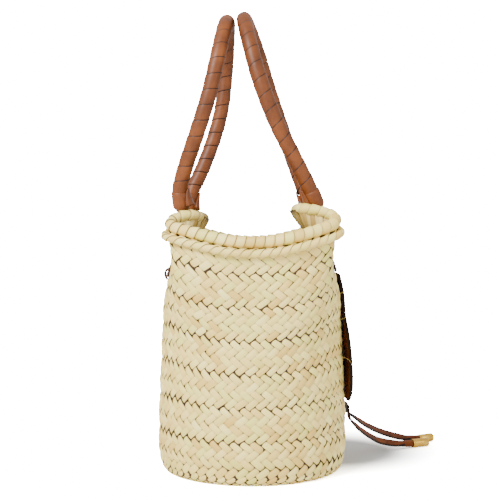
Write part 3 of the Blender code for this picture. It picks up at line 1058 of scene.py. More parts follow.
    def build_base(self) -> None:
        """The coiled base: rings of the same plait from the foot under to the centre, and inside."""
        profile = evenly(self.base_profile(), 400)
        along = lengths_of(profile)
        rows = int(along[-1] / self.row_height)
        radii = [float(np.interp((r + 0.5) * self.row_height, along, profile[:, 0])) for r in range(rows)]
        laps = [max(5, round(2 * math.pi * r / self.pitch)) for r in radii]
        laps[0] = laps[1] = self.strips_round
        tangent = unit(np.gradient(profile, axis=0))
        strip = self.float_strip("base_strip", 6, 3)
        faces = (("base_plait", 1, self.finishes.palm), ("floor_plait", -1, self.finishes.shaded_palm))
        for name, side, finish in faces:
            skipped = 1 if side < 0 else 0
            flat = self.lattice(range(skipped, rows), laps[skipped:], self.seed + 3 + side)
            mesh = self.layer.lay(name, strip=strip, finish=finish, seed=11, tilt=0.03, **flat)
            points, lap = mesh_points(mesh), mesh_values(mesh, "lap")
            d = np.clip(points[:, 1], 0, along[-1])
            radius, z = (np.interp(d, along, profile[:, k]) for k in (0, 1))
            tr, tz = (np.interp(d, along, tangent[:, k]) for k in (0, 1))
            inset = 0.0012 if side > 0 else 0.0030
            lift = side * points[:, 2] - inset
            angle = -2 * math.pi * points[:, 0] / lap - math.pi / 2
            radius, z = radius + lift * -tz, z + lift * tr
            place_points(mesh, np.stack([radius * np.cos(angle), radius * np.sin(angle), z], 1))
            if side < 0:
                mesh.flip_normals()
            obj = object_of(mesh, name)
            finish_piece(obj, Body.BASKET, Slot.PALM, *(["basket_base"] if side > 0 else []))
        bpy.data.objects.remove(strip, do_unlink=True)
        # The dark sheet of painted shade between the outer and inner base plait.
        inner, outer = (self.shifted_profile(profile, by) for by in (0.0030, 0.0012))
        ring = np.vstack([outer, inner[::-1]])
        ring = ring[ring[:, 0] > 0.0005]
        around = 96
        a = np.arange(around) * 2 * math.pi / around
        ring = ring[::8]
        rings = [np.stack([r * np.cos(a), r * np.sin(a), np.full(around, z)], 1) for r, z in ring]
        verts = np.concatenate(rings)
        shell = skin_faces(len(ring), around, closed=True)
        finish_piece(mesh_object("base_backing", verts, shell, self.finishes.shadow_sheet), Body.BASKET, Slot.PALM)

    @staticmethod
    def shifted_profile(profile: np.ndarray, by: float) -> np.ndarray:
        """A profile moved inwards by a distance."""
        tangent = unit(np.gradient(profile, axis=0))
        return profile - np.stack([-tangent[:, 1], tangent[:, 0]], 1) * by


@dataclass
class WoundStrip:
    """A strip wound round a line, each turn lapping over the last."""

    line: np.ndarray
    radius: float
    pitch: float
    closed: bool = False
    starts: int = 1
    lap: float = 1.15  # the strip's width, in pitches
    lift: float = 0.0006  # how far the lapping edge stands above the tucked one
    thick: float = 0.0009
    bow: float = 0.0  # how far each turn bows along the line on its outer side
    phase: float = 0.0
    steps: int = 18
    seed: int = 3
    lap_shade_and_paint: float = 0.76  # how dark the lapping edge is: painted shade on palm, edge paint on leather; 1 is darkest
    right_handed: bool = True

    def frames(self, at: np.ndarray) -> tuple[np.ndarray, np.ndarray, np.ndarray]:
        """The line's points and two cross directions at distances along it."""
        line = np.vstack([self.line, self.line[:1]]) if self.closed else self.line
        along = lengths_of(line)
        total = along[-1]
        at = np.mod(at, total) if self.closed else np.clip(at, 0, total)
        tangent = unit(np.gradient(line, axis=0))
        if self.closed:
            tangent[0] = tangent[-1] = unit(line[1] - line[-2])
            side = unit(np.cross(tangent, UP))
        else:
            side = np.zeros_like(line)
            side[0] = unit(np.cross(tangent[0], [0.0, 1.0, 0.0]))
            for i in range(1, len(line)):
                v = side[i - 1] - tangent[i] * np.dot(side[i - 1], tangent[i])
                side[i] = v / np.linalg.norm(v)
        up = np.cross(side, tangent)
        p, s, u = (sample(v, along, at) for v in (line, side, up))
        return p, unit(s), unit(u)

    def build(self, name: str, material: bpy.types.Material) -> bpy.types.Object:
        """Winds the strip and returns it as one closed mesh for each start, joined."""
        line = np.vstack([self.line, self.line[:1]]) if self.closed else self.line
        total = lengths_of(line)[-1]
        lead = self.pitch * self.starts
        turns = max(1, round(total / lead)) if self.closed else total / lead
        lead = total / turns
        pitch = lead / self.starts
        rng = np.random.default_rng(self.seed)
        # Round the strip's section: across its width (0 to 1) and its height above the radius.
        across = np.array([0.0, 0.04, 0.22, 0.50, 0.78, 0.955, 1.0, 1.0, 0.0])
        height = np.array([0.05, 0.20, 0.42, 0.72, 0.95, 1.0, 0.80, 0.10, -0.15])
        # On palm the dark lapping and tucked edges are painted shade; on leather they are edge paint.
        edge = np.array([1.0, 0.6, 0.0, 0.0, 0.0, self.lap_shade_and_paint, 1.0, 1.0, 1.0])
        columns = len(across)
        count = int(round(turns * self.steps))
        verts, faces, tones, strips, edges = [], [], [], [], []
        for start in range(self.starts):
            a = np.arange(count if self.closed else count + 1) / self.steps
            turn_tone = rng.random(int(turns) + 3)
            centre = a * lead + start * pitch
            angle = 2 * math.pi * a * (1 if self.right_handed else -1) + self.phase
            angle_grid = np.repeat(angle[:, None], columns, 1)
            width = pitch * self.lap
            s = centre[:, None] + (across[None, :] - 0.5) * width + self.bow * np.cos(angle_grid)
            p, side, up = self.frames(s)
            r = self.radius + self.lift * (height[None, :] - 0.5)
            r = r + np.where(np.arange(columns)[None, :] >= columns - 2, -self.thick * 0.6, 0.0)
            spoke = side * np.cos(angle_grid)[..., None] + up * np.sin(angle_grid)[..., None]
            ring = p + spoke * r[..., None]
            base = sum(len(v) for v in verts)
            verts.append(ring.reshape(-1, 3))
            faces += [[base + k for k in f] for f in skin_faces(len(a), columns, closed=self.closed)]
            tones.append(np.repeat(turn_tone[np.floor(a).astype(int)], columns))
            run = np.repeat((a * 2 * math.pi * self.radius)[:, None], columns, 1)
            cross = np.repeat((across * width)[None, :], len(a), 0)
            strips.append(np.stack([run, cross, np.zeros_like(run)], -1).reshape(-1, 3))
            edges.append(np.tile(edge, len(a)))
        return mesh_object(
            name,
            np.concatenate(verts),
            faces,
            material,
            {"tone": np.concatenate(tones), "strip": np.concatenate(strips), "edge": np.concatenate(edges)},
        )


@dataclass
class Rim:
    """The rim's two rolls: straw cores wound with broad palm strips."""

    form: BasketForm
    finishes: Finishes
    upper_radius: float = 0.0058
    lower_radius: float = 0.0037
    lower_level: float = 0.985
    lower_gap: float = 0.0009  # between the lower roll and the wall
    pitch: float = 0.0100
    around: int = 480

    def build(self) -> None:
        """Winds both rolls."""
        u = np.arange(self.around) / self.around
        upper = WoundStrip(
            self.form.rim_at(u),
            self.upper_radius,
            self.pitch,
            closed=True,
            lap=1.12,
            lift=0.0017,
            bow=0.0016,
            phase=2.4,
        )
        away = self.form.wall_thick / 2 + self.lower_radius + self.lower_gap
        lower = WoundStrip(
            self.form.off(u, np.full(self.around, self.lower_level), away),
            self.lower_radius,
            self.pitch,
            closed=True,
            starts=2,
            lap=1.10,
            lift=0.0014,
            phase=2.0,
            lap_shade_and_paint=0.62,
            seed=5,
        )
        for roll, winding in (("rim_upper", upper), ("rim_lower", lower)):
            wound = winding.build(roll + "_winding", self.finishes.palm)
            finish_piece(wound, Body.BASKET, Slot.PALM, roll + "_wrap")


# Leather work


@dataclass
class StitchRun:
    """Saddle stitches along a line, laid by the strip layer's tree."""

    layer: StripLayer
    finishes: Finishes
    spacing: float = 0.0030
    length: float = 0.0021
    thick: float = 0.0007

    def build(self, name: str, line: np.ndarray, normals: np.ndarray) -> bpy.types.Object:
        """Lays a stitch at each step along a line.

        Args:
            name: The piece's name.
            line: The seam's points.
            normals: The leather's outward direction at each of them.

        Returns:
            The stitches as one object.
        """
        along = lengths_of(line)
        count = max(2, int(along[-1] / self.spacing))
        at = (np.arange(count) + 0.5) * along[-1] / count
        places = sample(line, along, at)
        outs = unit(sample(normals, along, at))
        ahead = sample(line, along, at + 1e-4)
        runs = unit(ahead - places + 1e-12)
        turns = []
        for run, out in zip(runs, outs):
            out = unit(out - run * np.dot(out, run))
            side = np.cross(out, run)
            matrix = np.array([run, side, out]).T
            turns.append(
                (
                    math.atan2(matrix[2, 1], matrix[2, 2]),
                    -math.asin(max(-1.0, min(1.0, matrix[2, 0]))),
                    math.atan2(matrix[1, 0], matrix[0, 0]),
                )
            )
        a = np.arange(6) * math.pi / 3
        rings = []
        for x, r in ((-0.5, 0.25), (-0.36, 0.8), (0.0, 1.0), (0.36, 0.8), (0.5, 0.25)):
            wide, deep = (turn * r * self.thick / 2 for turn in (np.cos(a), np.sin(a)))
            rings.append(np.stack([np.full(6, x * self.length), wide, deep], 1))
        strip = mesh_object(name + "_one", np.concatenate(rings), skin_faces(5, 6), self.finishes.thread)
        mesh = self.layer.lay(
            name, places, np.array(turns), np.ones((count, 3)), strip, self.finishes.thread, seed=2
        )
        mesh.shade_smooth()
        bpy.data.objects.remove(strip, do_unlink=True)
        return object_of(mesh, name)


@dataclass
class Handle:
    """A rope handle wound with a leather strip, and the sewn leather tab at each foot."""

    form: BasketForm
    layer: StripLayer
    finishes: Finishes
    body: Body
    route: tuple[tuple[float, float, float], ...]
    radius: float = 0.0083
    pitch: float = 0.0168
    sleeve: float = 0.020  # the unwound leather at each foot
    tab_half: float = 0.0115
    tab_leather: float = 0.0022
    roll_radius: float = 0.0043  # what the tab allows for the roll that it passes over
    tongue_start: float = 0.0045  # from the foot, along the rope
    tongue_half: float = 0.0088  # half the tongue's width at its start
    tongue_taper: float = 0.0052  # how much of that it loses
    tongue_flare: float = 0.0042
    tongue_back: float = 0.0004  # how far its inner and outer faces stand off the rope's leather
    tongue_face: float = 0.0019
    around: int = 28  # points round the sleeve and the tab

    @property
    def name(self) -> str:
        """The handle's body name, which starts its nodes' names."""
        return self.body.value

    def line(self) -> np.ndarray:
        """The rope's centre line."""
        return evenly(smooth_line(self.route, 12), 260)

    def build(self) -> None:
        """Winds the leather and sews on both tabs."""
        line = self.line()
        along = lengths_of(line)
        inner = line[(along > self.sleeve * 0.8) & (along < along[-1] - self.sleeve * 0.8)]
        winding = WoundStrip(
            inner, self.radius, self.pitch, lap=1.07, lift=0.0007, thick=0.0012, steps=28, phase=1.2,
            right_handed=False, lap_shade_and_paint=0.93,
        )
        cover = winding.build(self.name + "_winding", self.finishes.tan)
        finish_piece(cover, self.body, Slot.TAN, self.name + "_cover")
        for side, feet in (("near", line), ("far", line[::-1])):
            self.build_tab(side, feet)

    @staticmethod
    def leg_at(feet: np.ndarray, along: np.ndarray, d: float) -> tuple[np.ndarray, np.ndarray]:
        """The leg's centre at a distance up from its foot, and the direction that it runs in."""
        centre, ahead = (sample(feet, along, at) for at in (d, d + 0.004))
        return centre, unit(ahead - centre)

    def build_tab(self, side: str, feet: np.ndarray) -> None:
        """The sleeve round the leg's foot and the tab that it becomes, in one leather.

        Args:
            side: near or far.
            feet: The rope's line from this foot up.
        """
        node = f"{self.name}_{side}_tab"
        foot = feet[0]
        along = lengths_of(feet)
        u = self.form.below(foot, 1.0)
        half, leather, around = self.tab_half, self.tab_leather, self.around
        over_rolls = self.form.wall_thick / 2 + 2 * self.roll_radius + leather / 2 + 0.0040
        on_wall = self.form.wall_thick / 2 + leather / 2 + 0.0016
        a = np.arange(around) * 2 * math.pi / around
        c, s = np.cos(a), np.sin(a)
        flat = flat_section(a, 0.55, 0.8)
        rings = []
        out = self.form.normal(np.array([u]), np.array([1.0]))[0]
        out = unit(out * [1, 1, 0])
        across = np.array([-out[1], out[0], 0.0])
        for d in (self.sleeve, self.sleeve - 0.0012, self.sleeve - 0.006, 0.008, 0.004):
            centre, run = self.leg_at(feet, along, d)
            x = unit(across - run * np.dot(across, run))
            y = np.cross(run, x)
            r = self.radius + (0.0002 if d == self.sleeve else 0.0010)
            rings.append(centre + x * c[:, None] * r + y * s[:, None] * r)
        joint = foot - UP * 0.0008
        x, y = across, np.cross(UP, across)
        rings.append(joint + x * flat[:, :1] * 0.0088 + y * flat[:, 1:] * 0.0058)
        top = foot - UP * 0.0040 + out * 0.0008
        rings.append(top + x * flat[:, :1] * 0.0086 + y * flat[:, 1:] * 0.0018)
        self.build_tongue(node, feet, out)
        turned = float(np.dot(y, out))
        levels = (  # level, distance off the wall, half width
            (0.957, over_rolls, 0.0088),
            (0.947, over_rolls * 0.97, 0.0090),
            (0.932, over_rolls * 0.86, 0.0098),
            (0.915, (on_wall + over_rolls) / 2, 0.0104),
            (0.895, on_wall * 1.15, 0.0110),
            (0.870, on_wall, half),
            (0.830, on_wall, half),
            (0.800, on_wall, half),
            (0.786, on_wall, half * 0.90),
            (0.780, on_wall, half * 0.6),
        )
        onward = self.form.wall(u + 0.004, 1.0) - self.form.wall(u - 0.004, 1.0)
        side_sign = float(np.sign(np.dot(across, onward)))
        for t, distance, width in levels:
            down = self.form.below(foot, t)
            us = down + side_sign * flat[:, 0] * width / self.form.girth(down, t)
            layer = np.sign(turned) * flat[:, 1] * leather / 2
            rings.append(self.form.off(us, np.full(around, t), distance + layer))
        verts = np.concatenate(rings)
        edge = np.tile(np.abs(flat[:, 0]), len(rings))
        edge[: 6 * around] = 0.0
        edge[-around:] = 1.0
        faces = skin_faces(len(rings), around)
        piece = mesh_object(node + "_leather", verts, faces, self.finishes.tan, {"edge": edge})
        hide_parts(node)
        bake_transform(piece)
        LOG.info("%s: %d faces, bends at the foot", piece.name, len(piece.data.polygons))
        self.sew_tab(node, foot, half, on_wall + leather / 2)

    def build_tongue(self, node: str, feet: np.ndarray, out: np.ndarray) -> None:
        """The wrap's cut end: a flared tongue with painted edges, that laps the sleeve on its inner side.

        Args:
            node: The tab's node, which names the piece.
            feet: The rope's line from this foot up.
            out: The outward direction of the wall at the foot.
        """
        along = lengths_of(feet)
        rows, columns = 12, 9
        verts, edge = [], []
        for outer in (False, True):
            for i in range(rows):
                s = i / (rows - 1)
                d = self.tongue_start + s * (self.sleeve + 0.001)
                centre, run = self.leg_at(feet, along, d)
                inward = unit(-out + run * np.dot(out, run))
                side = np.cross(run, inward)
                half = self.tongue_half - self.tongue_taper * s**1.5
                flare = self.tongue_flare * (1 - s) ** 1.3
                for j in range(columns):
                    x = (j / (columns - 1) - 0.5) * 2 * half
                    r = self.radius + (self.tongue_face + flare if outer else self.tongue_back)
                    bend = x / (self.radius + 0.002)
                    verts.append(centre + inward * r * np.cos(bend) + side * r * np.sin(bend))
                    edge.append(1.0 if outer and (j in (0, columns - 1) or i in (0, rows - 1)) else 0.0)
        size = rows * columns
        border = border_of(rows, columns)
        faces = sheet_faces(rows, columns) + [face[::-1] for face in sheet_faces(rows, columns, size)]
        faces += [[a, a + size, b + size, b] for a, b in zip(border, border[1:] + border[:1])]
        painted = {"edge": np.array(edge)}
        tongue = mesh_object(node + "_tongue", np.array(verts), faces, self.finishes.tan, painted)
        finish_piece(tongue, self.body, Slot.TAN)

    def sew_tab(self, node: str, foot: np.ndarray, half: float, lift: float) -> None:
        """The stitches round a tab's lower part."""
        inset = half - 0.0026
        down_side = ((-1, 0.90), (-1, 0.85), (-1, 0.80), (-0.85, 0.789))
        corners = down_side + ((0, 0.786),) + tuple((-x, t) for x, t in reversed(down_side))
        line, normals = [], []
        for s, t in corners:
            down = self.form.below(foot, t)
            at = down + s * inset / self.form.girth(down, t)
            rise = 0.0012 if t > 0.88 else 0.0
            line.append(self.form.off(np.array([at]), np.array([t]), np.array([lift + rise + 0.0001]))[0])
            normals.append(self.form.normal(np.array([at]), np.array([t]))[0])
        run = StitchRun(self.layer, self.finishes)
        stitches = run.build(node + "_stitches", smooth_line(line, 4), smooth_line(normals, 4))
        finish_piece(stitches, Body.BASKET, Slot.THREAD, node + "_thread")


@dataclass
class Flap:
    """The tongue on the front: tan leather lined with brown, edges painted, sewn all round."""

    form: BasketForm
    layer: StripLayer
    finishes: Finishes
    route: tuple[tuple[float, float], ...] = (
        (0.0930, 0.2150),
        (0.0945, 0.2020),
        (0.0985, 0.1850),
        (0.1056, 0.1520),
        (0.1088, 0.1260),
        (0.1101, 0.0980),
        (0.1092, 0.0820),
        (0.1070, 0.0740),
    )
    twist: float = 0.0100  # how much nearer the wall its far edge hangs
    off_wall: float = 0.0022
    ease: float = 0.0012  # over how far it eases from hanging free to lying on the wall
    half_width: float = 0.026
    leather: float = 0.0017
    lining: float = 0.0012
    round_from: float = 0.80

    def outline(self, count: int) -> tuple[np.ndarray, np.ndarray, np.ndarray]:
        """The outer face's centre line, its inward direction and the half width along it."""
        line = evenly(smooth_line([(x, 0.0, z) for x, z in self.route], 12), count)
        run = unit(np.gradient(line, axis=0))
        inward = np.stack([run[:, 2], np.zeros(count), -run[:, 0]], 1)
        s = np.linspace(0, 1, count)
        narrow = np.clip((s - self.round_from) / (1 - self.round_from), 0, 1)
        half = self.half_width * (0.88 + 0.12 * ramp(s, 0.0, 0.5)) * np.sqrt(1 - 0.90 * narrow**2)
        return line, inward, half

    def face(self, count: int, shares: np.ndarray) -> tuple[np.ndarray, np.ndarray]:
        """The outer face as rows of points at shares of the half width, and each row's inward direction."""
        line, inward, half = self.outline(count)
        behind = self.leather + GAP + self.lining + self.off_wall
        along = np.linspace(0, 1, count)
        rows = []
        for p, wide, s in zip(line, half, along):
            y = shares * wide
            hung = p[0] - self.twist * ramp(s, 0.05, 0.45) * (shares + 1) / 2
            resting = self.form.front_of_wall(y, p[2]) + behind
            x = (hung + resting + np.sqrt((hung - resting) ** 2 + self.ease**2)) / 2
            rows.append(np.stack([x, y, np.full(len(y), p[2])], 1))
        return np.array(rows), inward

    def slab(self, name: str, near: float, far: float, material: bpy.types.Material) -> bpy.types.Object:
        """A leather layer between two depths behind the outer face, with rounded edges."""
        shares = np.concatenate([[-1, -0.975, -0.94], np.linspace(-0.91, 0.91, 13), [0.94, 0.975, 1]])
        count, columns = 60, len(shares)
        rows, inward = self.face(count, shares)
        rings = []
        edges = []
        bite = (far - near) * 0.35
        for i in range(count):
            front = np.full(columns, near)
            front[[0, -1]] += bite
            back = np.full(columns, far)
            back[[0, -1]] -= bite
            face = rows[i] + inward[i] * front[:, None]
            rear = rows[i] + inward[i] * back[:, None]
            rings.append(np.vstack([face, rear[::-1]]))
            rim = np.where(np.abs(shares) > 0.93, 1.0, 0.0)
            edges.append(np.concatenate([rim, rim]))
        edges[0][:] = 1.0
        edges[-1][:] = edges[-2][:] = 1.0
        verts = np.concatenate(rings)
        faces = skin_faces(count, 2 * columns)
        return mesh_object(name, verts, faces, material, {"edge": np.concatenate(edges)})

    def build(self) -> None:
        """Both layers and the stitches."""
        outer = self.slab("flap_face", 0.0, self.leather, self.finishes.tan)
        finish_piece(outer, Body.FLAP, Slot.TAN, "flap_leather")
        back = self.leather + GAP
        lining = self.slab("flap_back", back, back + self.lining, self.finishes.lining)
        finish_piece(lining, Body.FLAP, Slot.TAN, "flap_lining")
        rows, inward = self.face(40, np.array([-0.885, 0.885]))
        keep = slice(0, -2)
        left, right = rows[keep, 0], rows[keep, 1]
        seam = np.vstack([left, right[::-1]]) - np.vstack([inward[keep], inward[keep][::-1]]) * 0.0001
        run = StitchRun(self.layer, self.finishes)
        stitches = run.build("flap_stitches", seam, -np.vstack([inward[keep], inward[keep][::-1]]))
        finish_piece(stitches, Body.FLAP, Slot.THREAD, "flap_thread")


@dataclass
class Lace:
    """A flat leather lace with painted edges, gathered into a brass ferrule."""

    name: str
    finishes: Finishes
    route: tuple[tuple[float, float, float], ...]
    width: float = 0.0085
    thick: float = 0.0026
    ferrule_radius: float = 0.0050
    ferrule_length: float = 0.0220
    lean: float = 1.0  # how far the lace rolls on its side between the wall and the ferrule, in radians

    def build(self) -> None:
        """The lace and its ferrule."""
        count = 90
        line = evenly(smooth_line(self.route, 12), count)
        run = unit(np.gradient(line, axis=0))
        floor_side = unit(np.cross(run, UP))
        floor_side *= np.sign(floor_side[:, 1:2])
        wall_side = unit(np.array([0.0, 1.0, 0.0]) - run * run[:, 1:2])
        turn = ramp(np.linspace(0, 1, count), 0.0, 0.35)[:, None]
        side = wall_side * (1 - turn) + floor_side * turn
        side = unit(side - run * (side * run).sum(1, keepdims=True))
        up = np.cross(run, side)
        s = np.linspace(0, 1, count)
        lean = self.lean * (ramp(s, 0.05, 0.35) * (1 - ramp(s, 0.80, 0.97)))[:, None]
        side, up = side * np.cos(lean) + up * np.sin(lean), up * np.cos(lean) - side * np.sin(lean)
        a = (np.arange(STRAP_AROUND) + 0.5) * 2 * math.pi / STRAP_AROUND
        flat = flat_section(a, *STRAP_POWERS)
        gathered = ramp(np.linspace(0, 1, count), 0.84, 0.97)[:, None]
        wide = self.width / 2 * (1 - gathered) + self.ferrule_radius * 0.84 * gathered
        deep = self.thick / 2 * (1 - gathered) + self.ferrule_radius * 0.80 * gathered
        fold = 1 - 0.10 * gathered * np.abs(np.cos(3 * a))[None, :]
        verts = (
            line[:, None, :]
            + side[:, None, :] * (flat[None, :, :1] * wide[..., None] * fold[..., None])
            + up[:, None, :] * (flat[None, :, 1:] * deep[..., None] * fold[..., None])
        )
        edge = np.repeat(np.abs(flat[None, :, 0]) * (1 - 0.5 * gathered), 1, 0)
        lace = mesh_object(
            self.name + "_leather",
            verts.reshape(-1, 3),
            skin_faces(count, STRAP_AROUND),
            self.finishes.lace,
            {"edge": edge.reshape(-1)},
        )
        finish_piece(lace, Body.BASKET, Slot.DARK, self.name)
        ferrule = self.build_ferrule(line)

    def build_ferrule(self, line: np.ndarray) -> bpy.types.Object:
        """A turned ferrule with a rolled mouth, a domed end and a crimp groove."""
        low, high = (np.array(v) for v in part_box(self.name.replace("lace", "ferrule")))
        axis = unit((line[-1] - line[-2]) * [1, 1, 0])
        centre = (low + high) / 2
        half, r = self.ferrule_length / 2, self.ferrule_radius
        profile = [
            (-half + 0.004, 0.0), (-half + 0.004, r * 0.80), (-half + 0.0004, r * 0.82), (-half, r * 0.88),
            (-half + 0.0002, r * 0.97), (-half + 0.0008, r), (-half + 0.0022, r), (-half + 0.0025, r * 0.95),
            (-half + 0.0028, r), (half - 0.0008, r), (half - 0.0002, r * 0.96), (half, r * 0.86), (half, 0.0),
        ]
        around = 40
        a = np.arange(around) * 2 * math.pi / around
        side = unit(np.cross(axis, UP))
        up = np.cross(side, axis)
        rings = [
            centre + axis * x + (side * np.cos(a)[:, None] + up * np.sin(a)[:, None]) * max(radius, 0.0004)
            for x, radius in profile
        ]
        name = self.name.replace("lace", "ferrule")
        faces = skin_faces(len(rings), around)
        ferrule = mesh_object(name + "_brass", np.concatenate(rings), faces, self.finishes.brass)
        ferrule.data.set_sharp_from_angle(angle=math.radians(40))
        finish_piece(ferrule, Body.BASKET, Slot.BRASS, name)
        return ferrule


@dataclass
class SmallLeather:
    """The lace keeper behind the flap and the little loop on the back."""

    form: BasketForm
    finishes: Finishes
    keeper_levels: tuple[float, float] = (0.195, 0.236)
    keeper_gap: float = 0.0019
    loop_level: float = 0.765
    loop_rise: float = 0.05

    def strap(
        self, name: str, line: np.ndarray, across: np.ndarray, out: np.ndarray, half: float, thick: float
    ) -> bpy.types.Object:
        """A rounded strap along a line.

        Args:
            name: The piece's name.
            line: The strap's middle.
            across: The direction of its width at each point.
            out: The direction of its thickness at each point.
            half: Half its width.
            thick: Its thickness.

        Returns:
            The strap.
        """
        a = (np.arange(STRAP_AROUND) + 0.5) * 2 * math.pi / STRAP_AROUND
        flat = flat_section(a, *STRAP_POWERS)
        verts = (
            line[:, None, :]
            + across[:, None, :] * flat[None, :, :1] * half
            + out[:, None, :] * flat[None, :, 1:] * thick / 2
        )
        edge = np.tile(np.abs(flat[:, 0]), len(line))
        faces = skin_faces(len(line), STRAP_AROUND)
        return mesh_object(name, verts.reshape(-1, 3), faces, self.finishes.dark, {"edge": edge})

    def build(self) -> None:
        """Both pieces."""
        u = self.form.nearest((0.1, 0.007), 0.2)
        t = np.linspace(*self.keeper_levels, 12)
        lift = self.form.wall_thick / 2 + self.keeper_gap
        line = self.form.off(np.full(12, u), t, lift)
        out = self.form.normal(np.full(12, u), t)
        across = unit(np.cross(UP, out))
        keeper = self.strap("lace_keeper_leather", line, across, out, 0.0125, 0.0022)
        finish_piece(keeper, Body.BASKET, Slot.DARK, "lace_keeper")
        u = self.form.nearest((-0.1, 0.0), self.loop_level)
        s = np.linspace(0, 1, 28)
        stand = 0.0035 + 0.0048 * np.sin(math.pi * s) ** 0.8
        t = self.loop_level + self.loop_rise * s
        line = self.form.off(np.full(28, u), t, self.form.wall_thick / 2 + stand - 0.0012)
        run = unit(np.gradient(line, axis=0))
        across = np.tile([0.0, 1.0, 0.0], (28, 1))
        loop = self.strap("back_loop_leather", line, across, np.cross(run, across), 0.003, 0.0024)
        finish_piece(loop, Body.BASKET, Slot.DARK, "back_loop")


# Loose fibres


@dataclass
class LooseFibres:
    """A few stiff fibres that have sprung out of the plait."""

    form: BasketForm
    finishes: Finishes
    tips: tuple[tuple[float, float, float, float, float], ...] = (  # u, t, lean round, lean up, length
        (0.205, 0.695, 0.5, 0.35, 0.014),
        (0.212, 0.590, 0.4, 0.45, 0.011),
        (0.200, 0.440, 0.5, -0.75, 0.024),
        (0.030, 0.720, 0.9, 0.20, 0.012),
        (0.905, 0.520, -0.8, 0.30, 0.013),
        (0.120, 0.330, 0.7, -0.50, 0.012),
        (0.660, 0.460, -0.6, 0.50, 0.016),
        (0.400, 0.620, 0.7, 0.40, 0.015),
        (0.830, 0.280, -0.7, -0.30, 0.011),
    )
    radius: float = 0.00016

    def build(self) -> None:
        """Every fibre, as one piece."""
        verts, faces, around, count = [], [], 5, 14
        a = np.arange(around) * 2 * math.pi / around
        for u, t, lean_round, lean_up, length in self.tips:
            root = self.form.off(np.array([u]), np.array([t]), np.array([0.0030]))[0]
            out = self.form.normal(np.array([u]), np.array([t]))[0]
            across = unit(np.cross(UP, out))
            s = np.linspace(0, 1, count)[:, None]
            push = out * (0.45 * np.sin(s * 2.2)) + across * lean_round * s + UP * lean_up * s**1.6
            line = root + push * length
            run = unit(np.gradient(line, axis=0))
            side = unit(np.cross(run, out + across * 0.3))
            other = np.cross(run, side)
            thin = self.radius * (1 - 0.6 * s)[..., None]
            spoke = side[:, None] * np.cos(a)[:, None] + other[:, None] * np.sin(a)[:, None]
            ring = line[:, None] + spoke * thin
            faces += [[k + len(verts) for k in face] for face in skin_faces(count, around)]
            verts += list(ring.reshape(-1, 3))
        fibres = mesh_object("loose_fibres", np.array(verts), faces, self.finishes.palm)
        finish_piece(fibres, Body.BASKET, Slot.PALM)


# The studio


